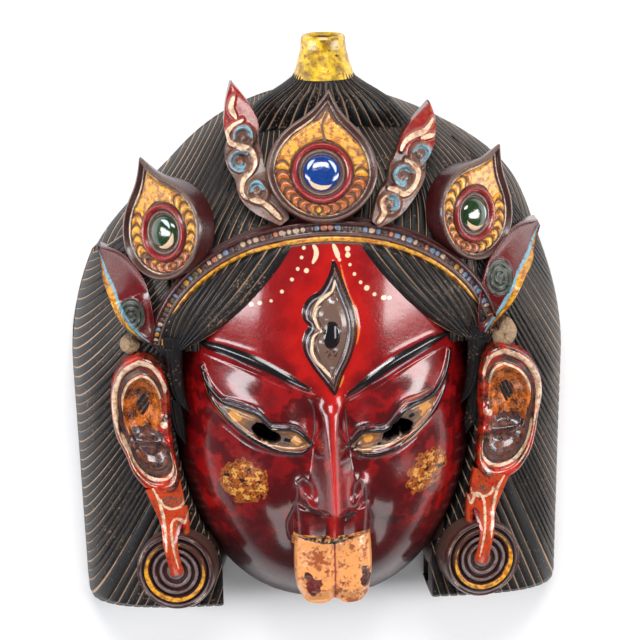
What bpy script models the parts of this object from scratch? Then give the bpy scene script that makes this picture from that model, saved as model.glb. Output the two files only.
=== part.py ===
"""Carved and lacquered wooden mask of a three-eyed face with its tongue out.

The mask lies on its back on the floor: +X is the viewer's right, +Y runs up the
mask to the top-knot and +Z points out of the face. The origin is the middle of
the back, on the plane that the mask lies on. Sizes are in metres.
"""
import math

import bmesh
import bpy
from mathutils import Matrix, Vector

MM = 0.001

# Overall size and the back of the mask
HALF_WIDTH = 150 * MM
HALF_HEIGHT = 174 * MM
FIT_GAP = 0.3 * MM

# Hair that makes the crown and falls behind the ears
CROWN_CENTRE_Y = -25 * MM
CROWN_RISE = 164 * MM
CROWN_DEPTH = 98 * MM
CROWN_LEAN = 10 * MM
FALL_TOP_Y = 35 * MM
FALL_BLEND = 70 * MM
FALL_DEPTH_EAR = 69 * MM
FALL_DEPTH_LOW = 56 * MM
FALL_TAPER = 5 * MM
FALL_INNER_LOW = 64 * MM
FALL_INNER_HIGH = 106 * MM
FALL_CORNER = 6 * MM
FALL_TOP_EDGE_Y = 42 * MM
STRAND_WIDTH = 14 * MM
STRAND_DEPTH = 1.8 * MM

# Face
FACE_HALF_WIDTH = 92 * MM
FACE_CENTRE_Y = -40 * MM
CHIN_REACH = 133 * MM
CHIN_SHAPE = 2.08
CHIN_FULLNESS = 0.7
FOREHEAD_REACH = 170 * MM
FACE_EDGE_DEPTH = 30 * MM
FACE_DEPTH = 102 * MM
EYE_SWELL = 6 * MM
CHEEK_SWELL = 4 * MM
SOCKET_DROP = 5 * MM

# Nose, mouth and tongue
NOSE_ROOT_Y = -35 * MM
NOSE_TIP_Y = -99 * MM
NOSE_FOOT_Y = -108 * MM
NOSE_TIP_DEPTH = 136 * MM
NOSE_HALF_WIDTH = 20 * MM
LIP_HALF_WIDTH = 23 * MM
LIP_TOP_Y = -101 * MM
LIP_FOOT_Y = -119 * MM
TONGUE_HALF_WIDTH = 22 * MM
TONGUE_TOP_Y = -114 * MM
TONGUE_TIP_Y = -155 * MM
TONGUE_DEPTH_TOP = 90 * MM
TONGUE_DEPTH_TIP = 94 * MM
TONGUE_RISE = 12 * MM

# Eyes, brows and the third eye
PUPIL_X = 39 * MM
PUPIL_Y = -52 * MM
PUPIL_WIDTH = 13 * MM
PUPIL_HEIGHT = 6.5 * MM
LID_WIDTH = 3.2 * MM
LID_RISE = 3.4 * MM
BROW_WIDTH = 6 * MM
BROW_RISE = 4 * MM
THIRD_EYE_X = 1.5 * MM
THIRD_EYE_Y = 11.5 * MM
THIRD_EYE_HALF_HEIGHT = 38 * MM
THIRD_EYE_HALF_WIDTH = 15 * MM
THIRD_EYE_RISE = 5 * MM

# Crown band
BAND_CENTRE_Y = -12 * MM
BAND_REACH_X = 100 * MM
BAND_REACH_Y = 78 * MM
BAND_WIDTH = 13.5 * MM
BAND_END_WIDTH = 8 * MM
BAND_THICKNESS = 16 * MM

# Petals, flames and leaves on the crown
PETAL_THICKNESS = 11 * MM
MIDDLE_PETAL_RADIUS = 32.5 * MM
LEFT_PETAL_RADIUS = 31 * MM
RIGHT_PETAL_RADIUS = 30 * MM
PETAL_TIP_SHARE = 0.52
PETAL_BACK_TIP_SHARE = 0.2
JEWEL_SHARE = 0.3
JEWEL_RISE = 4 * MM
PETAL_RIM_RISE = 2.5 * MM
FLAME_THICKNESS = 12 * MM
CURL_RADIUS = 7 * MM
LEAF_THICKNESS = 14 * MM
LEAF_HOLLOW = 5 * MM

# Ears, lobe straps, ear discs and plugs
EAR_X = 107 * MM
EAR_Y = -52 * MM
EAR_HALF_WIDTH = 19.5 * MM
EAR_HALF_HEIGHT = 45 * MM
EAR_RISE = 13 * MM
STRAP_RISE = 11 * MM
DISC_X = 92.5 * MM
DISC_Y = -144 * MM
DISC_RADIUS = 24 * MM
DISC_FACE_DEPTH = 66 * MM
DISC_TILT = 12
PLUG_INSET_LEFT = 34.5 * MM
PLUG_INSET_RIGHT = 43.5 * MM
PLUG_RADIUS_LEFT = 5.4 * MM
PLUG_RADIUS_RIGHT = 7.4 * MM
PLUG_DEPTH = 12 * MM

# Top-knot
KNOT_X = 4.5 * MM
KNOT_DEPTH = 40 * MM
KNOT_RIM_RADIUS = 13.2 * MM
KNOT_BASE_RADIUS = 17.5 * MM
KNOT_LENGTH = 23 * MM
KNOT_FOOT_RADIUS = 28 * MM
KNOT_FOOT_LENGTH = 50 * MM
KNOT_FLARE_RADIUS = 46 * MM
BORE_RADIUS = 10 * MM
BORE_LENGTH = 22 * MM

# Hollow behind the face
HOLLOW_HALF_WIDTH = 76 * MM
HOLLOW_HALF_HEIGHT = 112 * MM
HOLLOW_CENTRE_Y = -24 * MM
HOLLOW_DEPTH = 80 * MM

COLOURS = {
    "red_lacquer": ((0.30, 0.012, 0.010), 0.22),
    "plug_fibre": ((0.52, 0.40, 0.28), 0.9),
}


def clear_scene():
    for item in list(bpy.data.objects):
        bpy.data.objects.remove(item, do_unlink=True)


def make_collection(name):
    collection = bpy.data.collections.new(name)
    bpy.context.scene.collection.children.link(collection)
    return collection


def material(name):
    colour, roughness = COLOURS[name]
    made = bpy.data.materials.get(name) or bpy.data.materials.new(name)
    made.use_nodes = True
    shader = made.node_tree.nodes["Principled BSDF"]
    shader.inputs["Base Color"].default_value = (*colour, 1)
    shader.inputs["Roughness"].default_value = roughness
    made.diffuse_color = (*colour, 1)
    return made


def smooth(value):
    value = min(1, max(0, value))
    return value * value * (3 - 2 * value)


def swell(value, centre, width):
    return math.exp(-((value - centre) / width) ** 2)


def mix(low, high, share):
    return low + (high - low) * share


def along(stops, share):
    """Value or vector at a share from 0 to 1 of an evenly spaced list."""
    place = min(1, max(0, share)) * (len(stops) - 1)
    index = min(int(place), len(stops) - 2)
    low, high = stops[index], stops[index + 1]
    return low + (high - low) * (place - index)


def spline(points, share):
    """Point of a Catmull-Rom curve through the points, at a share from 0 to 1."""
    place = min(1, max(0, share)) * (len(points) - 1)
    index = min(int(place), len(points) - 2)
    step = place - index
    near = [points[min(len(points) - 1, max(0, index + shift))] for shift in (-1, 0, 1, 2)]
    rows = []
    for a, b, c, d in zip(*near):
        rows.append(0.5 * (2 * b + (c - a) * step + (2 * a - 5 * b + 4 * c - d) * step ** 2
                           + (3 * b - a - 3 * c + d) * step ** 3))
    return rows


# Heights of the hair and the face above the back plane

def crown_half_width(y):
    if y < CROWN_CENTRE_Y:
        return HALF_WIDTH - FALL_TAPER * (CROWN_CENTRE_Y - y) / (HALF_HEIGHT + CROWN_CENTRE_Y)
    rise = min(1, (y - CROWN_CENTRE_Y) / CROWN_RISE)
    return HALF_WIDTH * max(0, 1 - rise * rise) ** 0.55


def crown_middle(y):
    return CROWN_LEAN * swell(y, 92 * MM, 34 * MM)


def hair_height(x, y):
    half = crown_half_width(y)
    side = abs(x - crown_middle(y)) / half if half > 0 else 1
    if side >= 1:
        return 0
    rise = min(1, max(0, (y - CROWN_CENTRE_Y) / CROWN_RISE))
    crown = CROWN_DEPTH * math.sqrt((1 - side ** 2.2) * (1 - rise ** 2.6))
    plateau = mix(FALL_DEPTH_LOW, FALL_DEPTH_EAR, smooth((y + 110 * MM) / (100 * MM)))
    fall = plateau * math.sqrt(1 - side ** 7)
    return mix(crown, fall, smooth((FALL_TOP_Y - y) / FALL_BLEND))


def face_height(x, y):
    wide = (abs(x) / FACE_HALF_WIDTH) ** 2.3
    if y < FACE_CENTRE_Y:
        far = ((FACE_CENTRE_Y - y) / CHIN_REACH) ** CHIN_SHAPE
        far *= min(1, far / max(0.001, 1 - wide)) ** CHIN_FULLNESS
    else:
        far = ((y - FACE_CENTRE_Y) / FOREHEAD_REACH) ** 3
    inside = max(0, 1 - wide - far)
    height = FACE_EDGE_DEPTH + (FACE_DEPTH - FACE_EDGE_DEPTH) * inside ** 0.6
    across = abs(x)
    # The eyes swell forward under the brows, and the cheeks below them
    height += EYE_SWELL * swell(across, 42 * MM, 22 * MM) * swell(y, -50 * MM + across * 0.25, 16 * MM)
    height += CHEEK_SWELL * swell(across, 46 * MM, 22 * MM) * swell(y, -92 * MM, 20 * MM)
    height -= SOCKET_DROP * swell(across, 12 * MM, 9 * MM) * swell(y, -44 * MM, 16 * MM)
    height -= SOCKET_DROP * swell(across, 27 * MM, 8 * MM) * swell(y, -112 * MM, 16 * MM)
    return height


def face_edge(y):
    """Half width of the face's rim at a height down the face."""
    below = (max(0, FACE_CENTRE_Y - y) / CHIN_REACH) ** CHIN_SHAPE
    return FACE_HALF_WIDTH * max(0, 1 - below) ** (1 / 2.3)


def front_height(x, y):
    return max(hair_height(x, y), face_height(x, y))


# Ways to make a closed piece

def add_object(name, mesh, collection):
    made = bpy.data.objects.new(name, mesh)
    collection.objects.link(made)
    return made


def relief(name, collection, columns, rows, top, under, flat_back=False):
    """Closed piece from a grid: top(s, t) is its front, under(point, s, t) its back."""
    form = bmesh.new()
    across = form.verts.layers.float.new("s")
    upward = form.verts.layers.float.new("t")
    bmesh.ops.create_grid(form, x_segments=columns, y_segments=rows, size=0.5)
    for vert in form.verts:
        vert[across], vert[upward] = vert.co.x + 0.5, vert.co.y + 0.5
        vert.co = Vector(top(vert[across], vert[upward]))
    bmesh.ops.remove_doubles(form, verts=form.verts, dist=0.00001)
    raised = bmesh.ops.extrude_face_region(form, geom=form.faces[:], use_keep_orig=True)["geom"]
    back = {item for item in raised if isinstance(item, bmesh.types.BMVert)}
    for vert in back:
        vert.co = Vector(under(vert.co.copy(), vert[across], vert[upward]))
    if flat_back:
        bmesh.ops.dissolve_faces(form, faces=[face for face in form.faces if set(face.verts) <= back])
    bmesh.ops.recalc_face_normals(form, faces=form.faces)
    mesh = bpy.data.meshes.new(name)
    form.to_mesh(mesh)
    form.free()
    return add_object(name, mesh, collection)


def turned(name, collection, profile, steps, place):
    """Turned piece from a profile of (radius, height) that runs down its outer side."""
    mesh = bpy.data.meshes.new(name)
    points = [(radius, 0, height) for radius, height in profile]
    mesh.from_pydata(points, [(i, i + 1) for i in range(len(points) - 1)], [])
    made = add_object(name, mesh, collection)
    made.matrix_world = place
    screw = made.modifiers.new("Turn", "SCREW")
    screw.steps = steps
    screw.render_steps = steps
    screw.use_merge_vertices = True
    screw.merge_threshold = 0.00001
    screw.use_smooth_shade = False
    return made


def strip(name, collection, spine, columns, rows, profile, thickness):
    """Carved strip along a spine of (x, y, depth, half width) points."""
    def top(s, t):
        x, y, depth, half = spline(spine, t)
        ahead = spline(spine, min(1, t + 0.01))
        behind = spline(spine, max(0, t - 0.01))
        run = Vector((ahead[0] - behind[0], ahead[1] - behind[1])).normalized()
        side = 2 * s - 1
        return (x + run.y * side * half, y - run.x * side * half, depth + profile(side, t))

    def under(point, s, t):
        return (point.x, point.y, spline(spine, t)[2] - thickness)

    return relief(name, collection, columns, rows, top, under)


# The hair

def strand(value):
    """Height of a rounded strand, from 0 in the groove to 1 on top."""
    return 1 - abs(2 * (value % 1) - 1)


def gather(y):
    """How far the strands draw in towards the top-knot at a height up the crown."""
    return 1 - 0.54 * max(0, (y - 20 * MM) / (110 * MM)) ** 2


def crown_top_y(reach):
    """Height at which a strand of this reach runs over the edge of the crown."""
    low, high = CROWN_CENTRE_Y, CROWN_CENTRE_Y + CROWN_RISE * 0.998
    for _ in range(24):
        y = (low + high) / 2
        if abs(reach * gather(y)) < crown_half_width(y):
            low = y
        else:
            high = y
    return low


def make_crown(collection):
    strands = 2 * round(HALF_WIDTH * 0.97 / STRAND_WIDTH)
    foot_y = -8 * MM

    def top(s, t):
        reach = (2 * s - 1) * HALF_WIDTH * 0.985
        y = mix(foot_y, crown_top_y(reach), math.sin(t * math.pi / 2))
        x = reach * gather(y) + crown_middle(y)
        sink = 4 * MM * smooth((24 * MM - y) / (20 * MM))
        cut = STRAND_DEPTH * (1 - strand(s * strands))
        return (x, y, max(4 * MM, hair_height(x, y) - sink - cut))

    def under(point, s, t):
        return (point.x, point.y, -8 * MM)

    return relief("mask", collection, 2 * strands, 6, top, under)


def make_fall(side, collection):
    """Hair behind one ear, in strands that run down and out to the edge."""
    source = Vector((75 * MM, 230 * MM)) if side < 0 else Vector((108 * MM, 420 * MM))
    low_y = -HALF_HEIGHT
    edge_length = FALL_TOP_EDGE_Y - low_y
    foot_length = crown_half_width(low_y) - FALL_INNER_LOW
    strands = round((edge_length + foot_length) / STRAND_WIDTH)

    def rim(t):
        way = t * (edge_length + foot_length)
        if way < edge_length:
            y = FALL_TOP_EDGE_Y - way
            corner = max(0, (low_y + FALL_CORNER - y) / FALL_CORNER)
            half = crown_half_width(y) - FALL_CORNER * (1 - math.sqrt(1 - corner * corner))
            return Vector((half, y))
        way -= edge_length
        return Vector((crown_half_width(low_y) - FALL_CORNER - way * (foot_length - FALL_CORNER) / foot_length, low_y))

    def top(s, t):
        edge = rim(t)
        aim = Vector((-source.x, source.y)) - edge
        inner = mix(FALL_INNER_HIGH, FALL_INNER_LOW, smooth(t * 1.6 - 0.1))
        # A strand starts at the inner line, or at the rim of the face if it meets that first
        low, high = 0, max(0, (edge.x - inner) / -aim.x)
        if edge.x + aim.x * high < face_edge(edge.y + aim.y * high):
            for _ in range(16):
                middle = (low + high) / 2
                if edge.x + aim.x * middle < face_edge(edge.y + aim.y * middle) - 2 * MM:
                    high = middle
                else:
                    low = middle
        start = edge + aim * high
        share = math.sin(s * math.pi / 2)
        point = start + (edge - start) * share
        near = (point.x if share < 1 else edge.x - 0.5 * MM, max(point.y, low_y + 0.5 * MM))
        height = hair_height(*near) - STRAND_DEPTH * (1 - strand(t * strands))
        round_foot = smooth((point.y - low_y) / (5 * MM))
        height = max(height, 0) * mix(0.82, 1, round_foot)
        return (side * point.x, point.y, max(6 * MM, height + 1.2 * MM))

    def under(point, s, t):
        return (point.x, point.y, -6 * MM)

    return relief("fall", collection, 3, 2 * strands, top, under)


def make_wing(side, collection):
    """Front hair that sweeps from the middle of the band to the temple."""
    strands = 7

    def top(s, t):
        angle = math.radians(mix(80, 10, t))
        start = Vector((0.97 * BAND_REACH_X * math.cos(angle),
                        BAND_CENTRE_Y + 0.97 * BAND_REACH_Y * math.sin(angle)))
        end = Vector((mix(79, 97, t) * MM, mix(-3, -8, t) * MM))
        run = end - start
        bow = 7 * MM * (1 - t) * 4 * s * (1 - s)
        point = start + run * s + Vector((run.y, -run.x)).normalized() * bow
        height = front_height(*point) + 3.2 * MM - STRAND_DEPTH * (1 - strand(t * strands))
        return (side * point.x, point.y, height)

    def under(point, s, t):
        return (point.x, point.y, point.z - 12 * MM)

    return relief("wing", collection, 4, 2 * strands, top, under)


def make_sideburn(side, collection):
    stops = ((88, 6, 9.5), (90, -18, 6.5), (89, -38, 6.5), (86.5, -54, 4), (84, -65, 0.6))
    spine = [(side * x * MM, y * MM, front_height(x * MM, y * MM) + 2.5 * MM, half * MM) for x, y, half in stops]
    return strip("sideburn", collection, spine, 2, 5, lambda s, t: STRAND_DEPTH * (0.5 - abs(s)), 14 * MM)


# The face

def face_rim(x):
    """Lowest and highest y of the face at this distance from the middle."""
    share = min(1, abs(x) / FACE_HALF_WIDTH)
    low = FACE_CENTRE_Y - CHIN_REACH * (1 - share ** 2.3) ** (1 / CHIN_SHAPE)
    high = BAND_CENTRE_Y + BAND_REACH_Y * math.sqrt(1 - (min(abs(x), BAND_REACH_X) / BAND_REACH_X) ** 2)
    return low, high


def make_face(collection):
    def top(s, t):
        x = FACE_HALF_WIDTH * 0.995 * math.sin((s - 0.5) * math.pi)
        low, high = face_rim(x)
        y = mix(low, high, mix(t, 0.5 - 0.5 * math.cos(math.pi * t), 0.6))
        return (x, y, face_height(x, y))

    def under(point, s, t):
        return (point.x, point.y, -8 * MM)

    return relief("face", collection, 18, 17, top, under)


def make_nose(collection):
    """Nose with a narrow bridge, a round tip and two nostril wings."""
    def top(s, t):
        side = 2 * s - 1
        y = mix(NOSE_ROOT_Y, NOSE_FOOT_Y, t)
        down = min(1, (NOSE_ROOT_Y - y) / (NOSE_ROOT_Y - NOSE_TIP_Y))
        half = mix(9 * MM, NOSE_HALF_WIDTH, down ** 2.2)
        x = side * half
        ridge = mix(FACE_DEPTH + 3 * MM, NOSE_TIP_DEPTH, down ** 1.15)
        ridge -= 2.6 * max(0, NOSE_TIP_Y + 3 * MM - y)
        ground = face_height(x, y) - 3 * MM
        slope = math.cos(abs(side) ** mix(0.9, 0.75, down) * math.pi / 2) ** 1.3
        wing = 11 * MM * swell(abs(side), 0.76, 0.24) * swell(y, NOSE_TIP_Y + 9 * MM, 9 * MM)
        return (x, y, mix(ground, ridge, slope) + wing)

    def under(point, s, t):
        return (point.x, point.y, FACE_DEPTH - 22 * MM)

    return relief("nose", collection, 8, 8, top, under)


def make_lip(collection):
    def top(s, t):
        side = 2 * s - 1
        half = mix(0.78, 1, t) * LIP_HALF_WIDTH
        foot = LIP_FOOT_Y + 5 * MM * side * side
        y = mix(LIP_TOP_Y, foot, t)
        lift = 8 * MM * (1 - side * side) ** 0.5 + 2 * MM
        return (side * half, y, face_height(side * half, y) + lift * mix(1, 0.9, t))

    def under(point, s, t):
        return (point.x, point.y, face_height(point.x, point.y) - 10 * MM)

    return relief("lip", collection, 6, 3, top, under)


def make_tongue(collection):
    def top(s, t):
        side = 2 * s - 1
        tip = TONGUE_TIP_Y + 2.5 * MM * (swell(side, 0, 0.22) - 1) + 9 * MM * abs(side) ** 6
        y = mix(TONGUE_TOP_Y, tip, t)
        half = TONGUE_HALF_WIDTH * (1 + 0.05 * math.sin(t * math.pi))
        crest = TONGUE_RISE * (1 - side ** 4) ** 0.5 - 2.5 * MM * swell(side, 0, 0.14)
        return (side * half, y, mix(TONGUE_DEPTH_TOP, TONGUE_DEPTH_TIP, t) + crest - 4 * MM * smooth((t - 0.8) / 0.2))

    def under(point, s, t):
        return (point.x * 0.9, point.y + 5 * MM * t, 50 * MM)

    return relief("tongue", collection, 8, 6, top, under)


def face_ridge(name, collection, stops, half, rise, thin=0.3):
    """Thin carved ridge on the face, through (x, y) stops, pointed at both ends."""
    spine = []
    for index, (x, y) in enumerate(stops):
        share = index / (len(stops) - 1)
        width = half * mix(thin, 1, math.sin(math.pi * share) ** 0.7)
        spine.append((x * MM, y * MM, face_height(x * MM, y * MM), width))
    crest = lambda side, t: rise * (1 - abs(side)) * mix(0.5, 1, math.sin(math.pi * t))
    return strip(name, collection, spine, 2, 3 * (len(stops) - 1) // 2, crest, 6 * MM)


def make_brow(side, collection):
    stops = ((77.5, -1.5), (59, -4.5), (41, -11), (25, -20), (11.5, -28.5))
    return face_ridge("brow", collection, [(side * x, y) for x, y in stops], BROW_WIDTH / 2, BROW_RISE, 0.15)


def make_upper_lid(side, collection):
    stops = ((74, -17), (69, -28), (59, -36), (44, -39.5), (36, -47), (27, -50), (16, -53.5), (10, -60.5))
    return face_ridge("upper lid", collection, [(side * x, y) for x, y in stops], LID_WIDTH / 2, LID_RISE)


def make_lower_lid(side, collection):
    stops = ((74, -24), (69, -35), (61, -45), (48, -56), (34, -62.5), (19, -65.5), (10, -60.5))
    return face_ridge("lower lid", collection, [(side * x, y) for x, y in stops], LID_WIDTH / 2, LID_RISE)


def make_third_eye(collection):
    """Upright eye on the forehead, with two lobes on its left side."""
    def top(s, t):
        side = 2 * s - 1
        lens = math.sin(math.pi * t) ** 0.85
        half = THIRD_EYE_HALF_WIDTH * lens
        if side < 0:
            half *= 1 - 0.28 * swell(t, 0.49, 0.05)
        x = THIRD_EYE_X + side * half
        y = THIRD_EYE_Y + THIRD_EYE_HALF_HEIGHT * (1 - 2 * t)
        rim = swell(abs(side), 0.75, 0.2) + 0.9 * swell(side, 0, 0.4)
        return (x, y, face_height(x, y) + THIRD_EYE_RISE * rim * lens ** 0.5)

    def under(point, s, t):
        return (point.x, point.y, face_height(point.x, point.y) - 8 * MM)

    return relief("third eye", collection, 6, 10, top, under)


# The crown band and what stands on it

BAND_PROFILE = (0.5, 3.4, 1.2, 4.0, 2.0, 5.2, 1.0)


def make_band(collection):
    def top(s, t):
        angle = math.radians(mix(9, 171, t))
        side = 2 * s - 1
        half = mix(BAND_END_WIDTH, BAND_WIDTH, math.sin(angle) ** 0.8) / 2
        spot = Vector((BAND_REACH_X * math.cos(angle), BAND_CENTRE_Y + BAND_REACH_Y * math.sin(angle)))
        out = Vector((math.cos(angle) / BAND_REACH_X, math.sin(angle) / BAND_REACH_Y)).normalized()
        point = spot + out * side * half
        return (point.x, point.y, front_height(*spot) + along(BAND_PROFILE, s) * MM)

    def under(point, s, t):
        return (point.x, point.y, front_height(point.x, point.y) - BAND_THICKNESS)

    return relief("band", collection, len(BAND_PROFILE) - 1, 22, top, under)


# Rings of a petal: share of its radius, and height over its field
PETAL_RINGS = (0.0, JEWEL_SHARE * 0.7, JEWEL_SHARE, 0.38, 0.47, 0.56, 0.82, 0.93, 1.0)
PETAL_HEIGHTS = (JEWEL_RISE, JEWEL_RISE * 0.75, 0.5 * MM, 0, 2.2 * MM, 0, 0, PETAL_RIM_RISE, 0.6 * MM)


def make_petal(collection, centre, radius, width_share, turn, lean, roll):
    """Pointed round plate with a jewel; it turns about +Y, leans back and rolls."""
    frame = (Matrix.Translation(centre) @ Matrix.Rotation(math.radians(turn), 4, "Y")
             @ Matrix.Rotation(math.radians(-lean), 4, "X") @ Matrix.Rotation(math.radians(roll), 4, "Z"))

    def plate(s, t, tip_share):
        angle = 2 * math.pi * s - math.pi / 2
        off_tip = abs((math.degrees(angle) - 90 + 180) % 360 - 180)
        edge = radius * (1 + tip_share * math.exp(-off_tip / 11)) * (1 - 0.1 * max(0, -math.sin(angle)))
        share = along(PETAL_RINGS, t)
        # Only the rim follows the point; the jewel and its ring stay round
        reach = share * mix(radius, edge, smooth((share - 0.5) / 0.4))
        return Vector((reach * math.cos(angle) * width_share, reach * math.sin(angle), along(PETAL_HEIGHTS, t)))

    def top(s, t):
        return frame @ plate(s, t, PETAL_TIP_SHARE)

    def under(point, s, t):
        flat = plate(s, t, PETAL_BACK_TIP_SHARE)
        flat.z = -PETAL_THICKNESS
        return frame @ flat

    return relief("petal", collection, 18, len(PETAL_RINGS) - 1, top, under, True)


def make_petals(collection):
    make_petal(collection, (-1.5 * MM, 100.7 * MM, 92 * MM), MIDDLE_PETAL_RADIUS, 1.0, 0, 18, -7)
    make_petal(collection, (-93.6 * MM, 64.6 * MM, 72 * MM), LEFT_PETAL_RADIUS, 1.0, -44, 6, 25)
    make_petal(collection, (89.5 * MM, 69 * MM, 71 * MM), RIGHT_PETAL_RADIUS, 1.0, 38, 6, -32)


# Flames: spine stops of (x, y, depth, half width) and curls of (x, y, depth)
FLAMES = {
    "left": (((-51, 149, 55, 0.8), (-49, 138, 60, 7), (-46, 122, 68, 10.5), (-45.5, 108, 74, 11.5),
              (-41.5, 94, 82, 10.5), (-32, 82, 91, 9.5), (-24, 73, 95, 5)),
             ((-45, 124, 72), (-49, 107, 78), (-40, 91, 87))),
    "right": (((66, 133, 52, 0.8), (62, 123, 60, 7.5), (56, 111, 70, 10.5), (50, 98, 78, 11.5),
               (43, 87, 87, 10), (36, 77, 92, 8), (30, 69, 96, 5)),
              ((58, 108, 75), (46, 95.5, 84), (37.5, 81, 93))),
}


def make_flame(name, collection):
    stops, curls = FLAMES[name]
    spine = [tuple(value * MM for value in stop) for stop in stops]
    strip("flame", collection, spine, 2, 9, lambda side, t: 2 * MM * (1 - side * side), FLAME_THICKNESS)
    tilt = -24 if name == "left" else 24
    for x, y, depth in curls:
        place = Matrix.Translation((x * MM, y * MM, depth * MM)) @ Matrix.Rotation(math.radians(tilt), 4, "Y")
        rise = 2 * MM
        profile = ((0, rise * 0.3), (CURL_RADIUS * 0.7, rise), (CURL_RADIUS, 0),
                   (CURL_RADIUS, -FLAME_THICKNESS), (0, -FLAME_THICKNESS))
        turned("curl", collection, profile, 8, place)


# Hollow leaves under the side petals: spine stops of (x, y, depth, half width)
LEAVES = {
    "left": ((-131.5, 48, 29, 2), (-122, 39, 52, 9), (-115, 27, 66, 10.5), (-111, 14, 72, 9.5), (-104, 3, 74, 5)),
    "right": ((133, 54, 27, 2), (118, 46, 54, 11), (107, 32, 70, 11), (99, 17, 75, 9), (95, 4, 75, 4.4)),
}


def make_leaf(name, collection):
    spine = [tuple(value * MM for value in stop) for stop in LEAVES[name]]

    def hollow(side, t):
        depth = 0.25 + 0.75 * abs(math.sin(math.pi * (t * 1.9 + 0.08)))
        return LEAF_HOLLOW * (0.7 - (1 - side ** 4) * depth) + 2 * MM

    return strip("leaf", collection, spine, 4, 9, hollow, LEAF_THICKNESS)


# The ears and what hangs from them

EAR_RINGS = (0.0, 0.35, 0.62, 0.74, 0.9, 1.0)
EAR_SHARES = (0.16, 0.24, 0.82, 0.6, 1.05, 0.3)


def ear_point(share, angle):
    """Place on an ear in from its rim; the ear leans out at the top and narrows below."""
    up = math.sin(angle)
    half = EAR_HALF_WIDTH * (1 - 0.16 * max(0, -up))
    return Vector((EAR_X + 5 * MM * up * share + half * math.cos(angle) * share, EAR_Y + EAR_HALF_HEIGHT * up * share))


def make_ear(side, collection):
    def top(s, t):
        point = ear_point(along(EAR_RINGS, t), 2 * math.pi * s)
        rise = EAR_RISE * along(EAR_SHARES, t)
        return (side * point.x, point.y, hair_height(*point) + rise)

    def under(point, s, t):
        return (point.x, point.y, hair_height(abs(point.x), point.y) - 8 * MM)

    return relief("ear", collection, 15, len(EAR_RINGS) - 1, top, under)


def make_strap(side, collection):
    """Long lobe: it forks round a slit, and one branch hooks over the ear disc."""
    stops = ((99, -90, 0, 11), (95.5, -103, 0, 9.5), (94.5, -115, 1, 6.5), (95.5, -126, 5, 4.4), (93.5, -138, 4.5, 4),
             (91.5, -146, 2.5, 4.4))
    spine = [(side * x * MM, y * MM, hair_height(x * MM, y * MM) + STRAP_RISE + lift * MM, half * MM)
             for x, y, lift, half in stops]
    strip("strap", collection, spine, 2, 7, lambda s, t: 1.5 * MM * (1 - s * s), 16 * MM)
    stub = ((88, -104, 3.5), (86.5, -112, 3), (85.5, -121, 2.2))
    spine = [(side * x * MM, y * MM, hair_height(x * MM, y * MM) + STRAP_RISE - 1 * MM, half * MM) for x, y, half in stub]
    strip("strap stub", collection, spine, 2, 3, lambda s, t: 1.2 * MM * (1 - s * s), 14 * MM)


# Rings turned on a disc's face: share of its radius, height in shares of a ring
DISC_RINGS = ((0.0, 0.8), (0.34, 1.2), (0.45, 0.1), (0.6, 1.5), (0.68, 0.3),
              (0.8, 1.6), (0.87, 0.3), (1.0, 0.5))


def make_disc(side, collection):
    ring = 2 * MM
    profile = [(DISC_RADIUS * share, ring * rise) for share, rise in DISC_RINGS]
    profile += [(DISC_RADIUS, -DISC_FACE_DEPTH + 10 * MM), (0, -DISC_FACE_DEPTH + 10 * MM)]
    place = (Matrix.Translation((side * DISC_X, DISC_Y, DISC_FACE_DEPTH))
             @ Matrix.Rotation(math.radians(side * DISC_TILT), 4, "Y"))
    return turned("ear disc", collection, profile, 16, place)


# The top-knot, and what is cut out of the mask

def make_knot(collection):
    """Hollow turned knot on the edge of the crown, and the foot that the hair runs up to."""
    upright = Matrix.Rotation(math.radians(-90), 4, "X")
    rim = 1.6 * MM
    profile = ((0, -BORE_LENGTH), (BORE_RADIUS, -BORE_LENGTH), (BORE_RADIUS, -rim), (BORE_RADIUS + rim * 0.6, 0),
               (KNOT_RIM_RADIUS - rim * 0.5, 0), (KNOT_RIM_RADIUS, -rim), (KNOT_RIM_RADIUS, -0.35 * KNOT_LENGTH),
               (KNOT_BASE_RADIUS, -KNOT_LENGTH), (KNOT_BASE_RADIUS * 1.1, -KNOT_LENGTH - 12 * MM),
               (0, -KNOT_LENGTH - 12 * MM))
    turned("knot", collection, profile, 20, Matrix.Translation((KNOT_X, HALF_HEIGHT, KNOT_DEPTH)) @ upright)
    profile = ((0, 0), (KNOT_BASE_RADIUS, 0), (KNOT_BASE_RADIUS * 1.15, -8 * MM), (KNOT_FOOT_RADIUS * 0.9, -18 * MM),
               (KNOT_FOOT_RADIUS, -KNOT_FOOT_LENGTH), (0, -KNOT_FOOT_LENGTH))
    place = Matrix.Translation((KNOT_X, HALF_HEIGHT - KNOT_LENGTH - 1 * MM, KNOT_DEPTH - 6 * MM))
    turned("knot foot", collection, profile, 12, place @ upright @ Matrix.Diagonal((1, 0.78, 1, 1)))
    # The hair flares out at both sides of the knot
    profile = ((0, 0), (0.95 * KNOT_BASE_RADIUS, 0), (0.65 * KNOT_FLARE_RADIUS, -8.5 * MM),
               (0.94 * KNOT_FLARE_RADIUS, -17 * MM), (KNOT_FLARE_RADIUS, -26 * MM), (0, -40 * MM))
    place = Matrix.Translation((KNOT_X, HALF_HEIGHT - KNOT_LENGTH, KNOT_DEPTH - 10 * MM))
    return turned("knot flare", collection, profile, 12, place @ upright @ Matrix.Diagonal((1, 0.36, 1, 1)))


def make_hollow(collection):
    steps = 6
    profile = []
    for index in range(steps + 1):
        angle = math.pi / 2 * (1 - index / steps)
        profile.append((math.cos(angle), math.sin(angle)))
    profile += [(1, -0.2), (0, -0.2)]
    size = Matrix.Diagonal((HOLLOW_HALF_WIDTH, HOLLOW_HALF_HEIGHT, HOLLOW_DEPTH, 1))
    return turned("hollow", collection, profile, 20, Matrix.Translation((0, HOLLOW_CENTRE_Y, 0)) @ size)


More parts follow.
